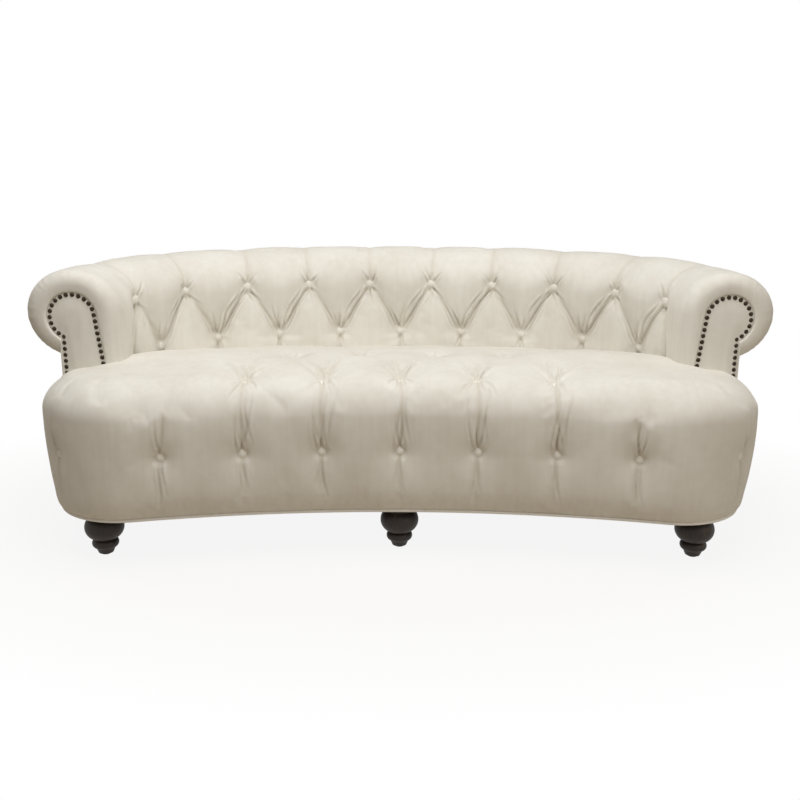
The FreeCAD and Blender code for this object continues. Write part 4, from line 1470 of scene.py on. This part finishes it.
    def relief(self, along: Field, inset: Field, base: Field, path: Field) -> Relief:
        """Pleats on the front, hollows at the buttons and folds on the top.

        Args:
            along: Distance along the outline for each column.
            inset: How far each row of the front is drawn in.
            base: Plain surface.
            path: Distance up the front from the piping.

        Returns:
            The relief.
        """
        rows = len(inset)
        front = self.plan.seat_reach(*np.meshgrid(along, inset, indexing="ij"))
        rise = path[-1] + base[:, rows:, 1] - base[:, rows - 1:rows, 1]
        up = np.concatenate([np.broadcast_to(path, front.shape), rise], axis=1)
        relief = Relief.flat(np.concatenate([front, base[:, rows:, 0]], axis=1), up)
        heights = base[0, :rows, 2]
        button = float(np.interp(self.front_row_height, heights, path))
        second = path[-1] + self.second_row_inset - self.nose_depth
        third = path[-1] + self.third_row_inset - self.nose_depth
        tops = evenly(self.second_count, self.pitch)
        thirds = evenly(self.third_count, self.pitch)
        sides, corners = self.outer_buttons(float(np.interp(self.front_row_height, heights, inset)))
        fronts = tops + sides + corners

        for number, spot in enumerate(tops):
            bow = self.nose_bow * math.sin(number * 1.9 + 0.6)
            relief.pleat((spot, button), (spot, second), self.nose_pleat, bow)
            for step, shift in enumerate(self.nose_shifts):
                lean = 0.1 * math.sin(number * 3.7 + step * 2.3)
                start = (spot + shift, button + self.nose_step * step)
                relief.crinkle(start, lean, self.nose_wrinkle)
        for spot in sides:
            end = (spot - math.copysign(self.side_lean, spot), button + self.side_reach)
            relief.pleat((spot, button), end, self.side_pleat, self.side_bow)
        for number, spot in enumerate(fronts):
            foot = (spot + self.front_lean * math.sin(number), 0.0)
            relief.pleat((spot, button), foot, self.front_pleat)
            relief.tuft((spot, button), self.front_tuft, number)
        for number, spot in enumerate(tops):
            relief.tuft((spot, second), self.second_tuft, number)
        for number, spot in enumerate(thirds):
            relief.tuft((spot, third), self.third_tuft, number)

        uneven = sum(bump.over(base[..., 0], base[..., 1] + base[..., 2]) for bump in self.bumps)
        bent = eased(np.abs(along), self.plan.front_run, self.plan.corner_run)[:, None]
        swell = self.crest * (1.0 - 2.0 * bent * (1.0 - eased(up, path[-1], path[-1] + self.corner_ease)))
        uneven = uneven * eased(up, 0.0, self.bump_ease)
        relief.height = relief.height + swell * eased(up, 0.0, self.crest_ease) + uneven
        for spot in fronts:
            relief.tie((spot, button), self.front_depth)
        for spot in tops:
            relief.tie((spot, second), self.top_depth)
        for spot in thirds:
            relief.tie((spot, third), self.top_depth + self.crown)
        relief.hem(8, 6, 4)
        return relief


@dataclass
class OutsideCover:
    """Flat cloth drawn round the outside of the back and arms, below the roll."""

    plan: Plan
    cloth: bpy.types.Material
    low: float = 0.13
    high: float = 0.4965
    thickness: float = 0.002
    lining_gap: float = 0.004
    bumps: Bumps = Bumps(0.0018, 2.2, 3.0, 0.4)
    bump_ease: float = 0.05
    slack: float = 0.0024
    tuck_depth: float = 0.0022
    tuck_waves: float = 26.0
    tuck_start: float = 0.12
    lowest: float = -0.0008
    highest: float = 0.004
    columns: int = 420
    rows: int = 60

    def build(self) -> bpy.types.Object:
        """Build the cover.

        Returns:
            The stretched sheet.
        """
        half = self.plan.half_length
        run = np.linspace(half, -half, self.columns)
        rise = np.linspace(self.low, self.high, self.rows)
        along, height = np.meshgrid(run, rise, indexing="ij")
        offset = np.full(along.shape, self.plan.shell_offset)
        x, y = self.plan.inside(along, offset)
        relief = Relief.flat(along, height)
        tucks = np.sin(along * self.tuck_waves + 1.2 * np.sin(along * 7.0)) ** 2
        tucks = self.tuck_depth * tucks * eased(height, self.low + self.tuck_start, self.high)
        uneven = self.bumps.over(along, height) * eased(height, self.low, self.low + self.bump_ease)
        relief.height = np.clip(self.slack - tucks + uneven, self.lowest, self.highest)
        inner = spots(*self.plan.inside(along, offset - self.thickness - self.lining_gap), height)
        piece = wrapped("outside_cover", spots(x, y, height), relief, inner[:, [-1, 0]])
        self.high - self.low
        return settle(piece, self.cloth,
                      ("outside_back_cover", "outside_arm_cover_left", "outside_arm_cover_right"))


@dataclass(frozen=True)
class Lamp:
    """Soft round lamp."""

    name: str
    spot: Triple
    aim: Triple
    size: float
    power: float
    tint: Colour

    def hang(self) -> None:
        """Add the lamp to the scene."""
        data = bpy.data.lights.new(self.name, "AREA")
        data.shape = "DISK"
        data.size = self.size
        data.energy = self.power
        data.color = self.tint
        lamp = bpy.data.objects.new(self.name, data)
        lamp.location = self.spot
        way = Vector(self.aim) - Vector(self.spot)
        lamp.rotation_euler = way.to_track_quat("-Z", "Y").to_euler()
        bpy.context.scene.collection.objects.link(lamp)


@dataclass
class Studio:
    """Camera, lamps, floor and surroundings."""

    eye: Triple = (0.0, -2.678, 1.012)
    pitch_down: float = 14.5
    roll: float = 0.25
    lens: float = 43.11
    sensor: float = 36.0
    floor_radius: float = 9.0
    floor_paint: Colour = (0.54, 0.47, 0.38)
    floor_glow: float = 0.9
    fade_start: float = 1.0
    fade_rate: float = 1.4
    white: Colour = (1.0, 1.0, 1.0)
    sky_tint: Colour = (1.0, 0.92, 0.8)
    sky_light: float = 0.21
    lamps: tuple[Lamp, ...] = (
        Lamp("overhead", (-0.15, -0.92, 2.9), (0.0, 0.0, 0.4), 2.2, 66.0, (0.985, 0.99, 1.0)),
        Lamp("side_right", (2.7, -2.2, 1.5), (0.4, 0.0, 0.4), 1.8, 15.0, (1.0, 0.96, 0.9)),
    )

    def camera(self) -> None:
        """Set up the camera at the photograph's angle."""
        data = bpy.data.cameras.new("view")
        data.lens = self.lens
        data.sensor_width = self.sensor
        camera = bpy.data.objects.new("view", data)
        pitch = Matrix.Rotation(math.radians(90.0 - self.pitch_down), 4, "X")
        roll = Matrix.Rotation(math.radians(self.roll), 4, "Z")
        camera.matrix_world = Matrix.Translation(self.eye) @ pitch @ roll
        bpy.context.scene.collection.objects.link(camera)
        bpy.context.scene.camera = camera

    def floor(self) -> None:
        """Add a pale floor that fades into the white surroundings."""
        grid = bmesh.new()
        bmesh.ops.create_circle(grid, cap_ends=True, segments=96, radius=self.floor_radius)
        mesh = bpy.data.meshes.new("floor")
        grid.to_mesh(mesh)
        grid.free()
        floor = bpy.data.objects.new("floor", mesh)
        bpy.context.scene.collection.objects.link(floor)
        material, sheet = blank("pale_floor")
        spot = sheet.place((1.0, 1.5, 1.0))
        gap = sheet.add("ShaderNodeVectorMath", {"operation": "LENGTH"}, {0: spot}, "Value")
        far = ((gap - self.fade_start) * self.fade_rate).clamped()
        share = sheet.seen() * (self.floor_glow + far * (1.0 - self.floor_glow))
        paint = sheet.add("ShaderNodeBsdfDiffuse", {}, {"Color": rgba(self.floor_paint)}, "BSDF")
        glow = sheet.add("ShaderNodeEmission", {}, {"Color": rgba(self.white), "Strength": 1.0}, "Emission")
        mixed = sheet.add("ShaderNodeMixShader", {}, {0: share, 1: paint, 2: glow}, "Shader")
        sheet.add("ShaderNodeOutputMaterial", {}, {"Surface": mixed})
        mesh.materials.append(material)

    def surroundings(self) -> None:
        """Light the scene from all round and show white behind the object."""
        world = bpy.data.worlds.new("studio")
        bpy.context.scene.world = world
        world.use_nodes = True
        sheet = Sheet(world.node_tree)
        seen = sheet.seen()
        strength = self.sky_light + seen * (1.0 - self.sky_light)
        tint = sheet.blend(seen, rgba(self.sky_tint), rgba(self.white))
        sky = sheet.add("ShaderNodeBackground", {}, {"Color": tint, "Strength": strength}, "Background")
        sheet.add("ShaderNodeOutputWorld", {}, {"Surface": sky})

    def build(self) -> None:
        """Set up the whole studio."""
        self.camera()
        self.floor()
        self.surroundings()
        for lamp in self.lamps:
            lamp.hang()
        bpy.context.scene.view_settings.view_transform = "Standard"


def finishes() -> dict[str, bpy.types.Material]:
    """Make every finish of the settee.

    Returns:
        The materials by the record's slot names.
    """
    kinds = {
        "cream_velvet": Velvet("ivory_velvet", (0.8, 0.775, 0.71), (0.7, 0.665, 0.59), (0.42, 0.34, 0.235)),
        "foam": Mottled("cut_foam", (0.8, 0.75, 0.58), (0.88, 0.83, 0.66), 220.0, 0.0, 0.8),
        "turned_wood": Timber("dark_turned_wood", (0.008, 0.005, 0.003), (0.026, 0.016, 0.009), Grain.UPRIGHT,
                              (0.1, 0.068, 0.042), 0.5, 0.05),
        "frame_timber": Timber("raw_timber", (0.38, 0.24, 0.12), (0.62, 0.45, 0.26), Grain.LENGTHWISE),
        "board": Timber("fibre_board", (0.3, 0.21, 0.12), (0.4, 0.3, 0.18), Grain.LENGTHWISE, None, 0.7),
        "jute": PlainCloth("jute_strap", (0.5, 0.38, 0.2), (0.28, 0.2, 0.1), Weave.STRAP),
        "black_lining": PlainCloth("black_lining_cloth", (0.02, 0.02, 0.02), (0.008, 0.008, 0.008),
                                   Weave.LINING),
        "antique_nail": Mottled("antique_nail_metal", (0.012, 0.008, 0.005), (0.055, 0.034, 0.019),
                                260.0, 0.8, 0.32),
        "plated_steel": Mottled("zinc_plate", (0.5, 0.5, 0.48), (0.66, 0.66, 0.63), 90.0, 1.0, 0.3),
        "spring_steel": Mottled("oiled_wire", (0.06, 0.06, 0.065), (0.14, 0.14, 0.15), 120.0, 1.0, 0.3),
        "dark_plastic": Mottled("glide_plastic", (0.012, 0.01, 0.009), (0.02, 0.018, 0.016), 150.0, 0.0, 0.5),
    }
    return {slot: finish.make() for slot, finish in kinds.items()}


def dress_frame(materials: dict[str, bpy.types.Material]) -> None:
    """Give every carried-over node the finish of its slot, with painted light on the piping and seat buttons.

    Args:
        materials: Materials by slot.
    """
    # painted light: the piping and seat buttons get lighter copies of the same velvet, a painted highlight on
    # them
    cord = Velvet("piping_velvet_painted_light", (0.95, 0.94, 0.91), (0.88, 0.865, 0.82), (0.5, 0.42, 0.32)).make()
    dome = Velvet("button_velvet_painted_light", (0.9, 0.875, 0.82), (0.82, 0.79, 0.72), (0.5, 0.42, 0.32)).make()
    brighter = {"bottom_piping": cord, "seat_buttons_front": dome, "seat_buttons_top": dome}
    for row in frame["record"]["subparts"]:
        node = frame["nodes"][row["node"]]
        node.data.materials.clear()
        node.data.materials.append(brighter.get(row["node"], materials[row["material_slot"]]))


def main() -> None:
    """Build the settee and its studio."""
    logging.basicConfig(level=logging.INFO, format="%(name)s %(message)s")
    plan = Plan()
    materials = finishes()
    dress_frame(materials)
    velvet = materials["cream_velvet"]
    facing = Facing(plan, velvet)
    BackRoll(plan, facing, velvet).build()
    facing.build()
    Seat(plan, velvet).build()
    OutsideCover(plan, velvet).build()
    Studio().build()


if __name__ == "__main__":
    main()
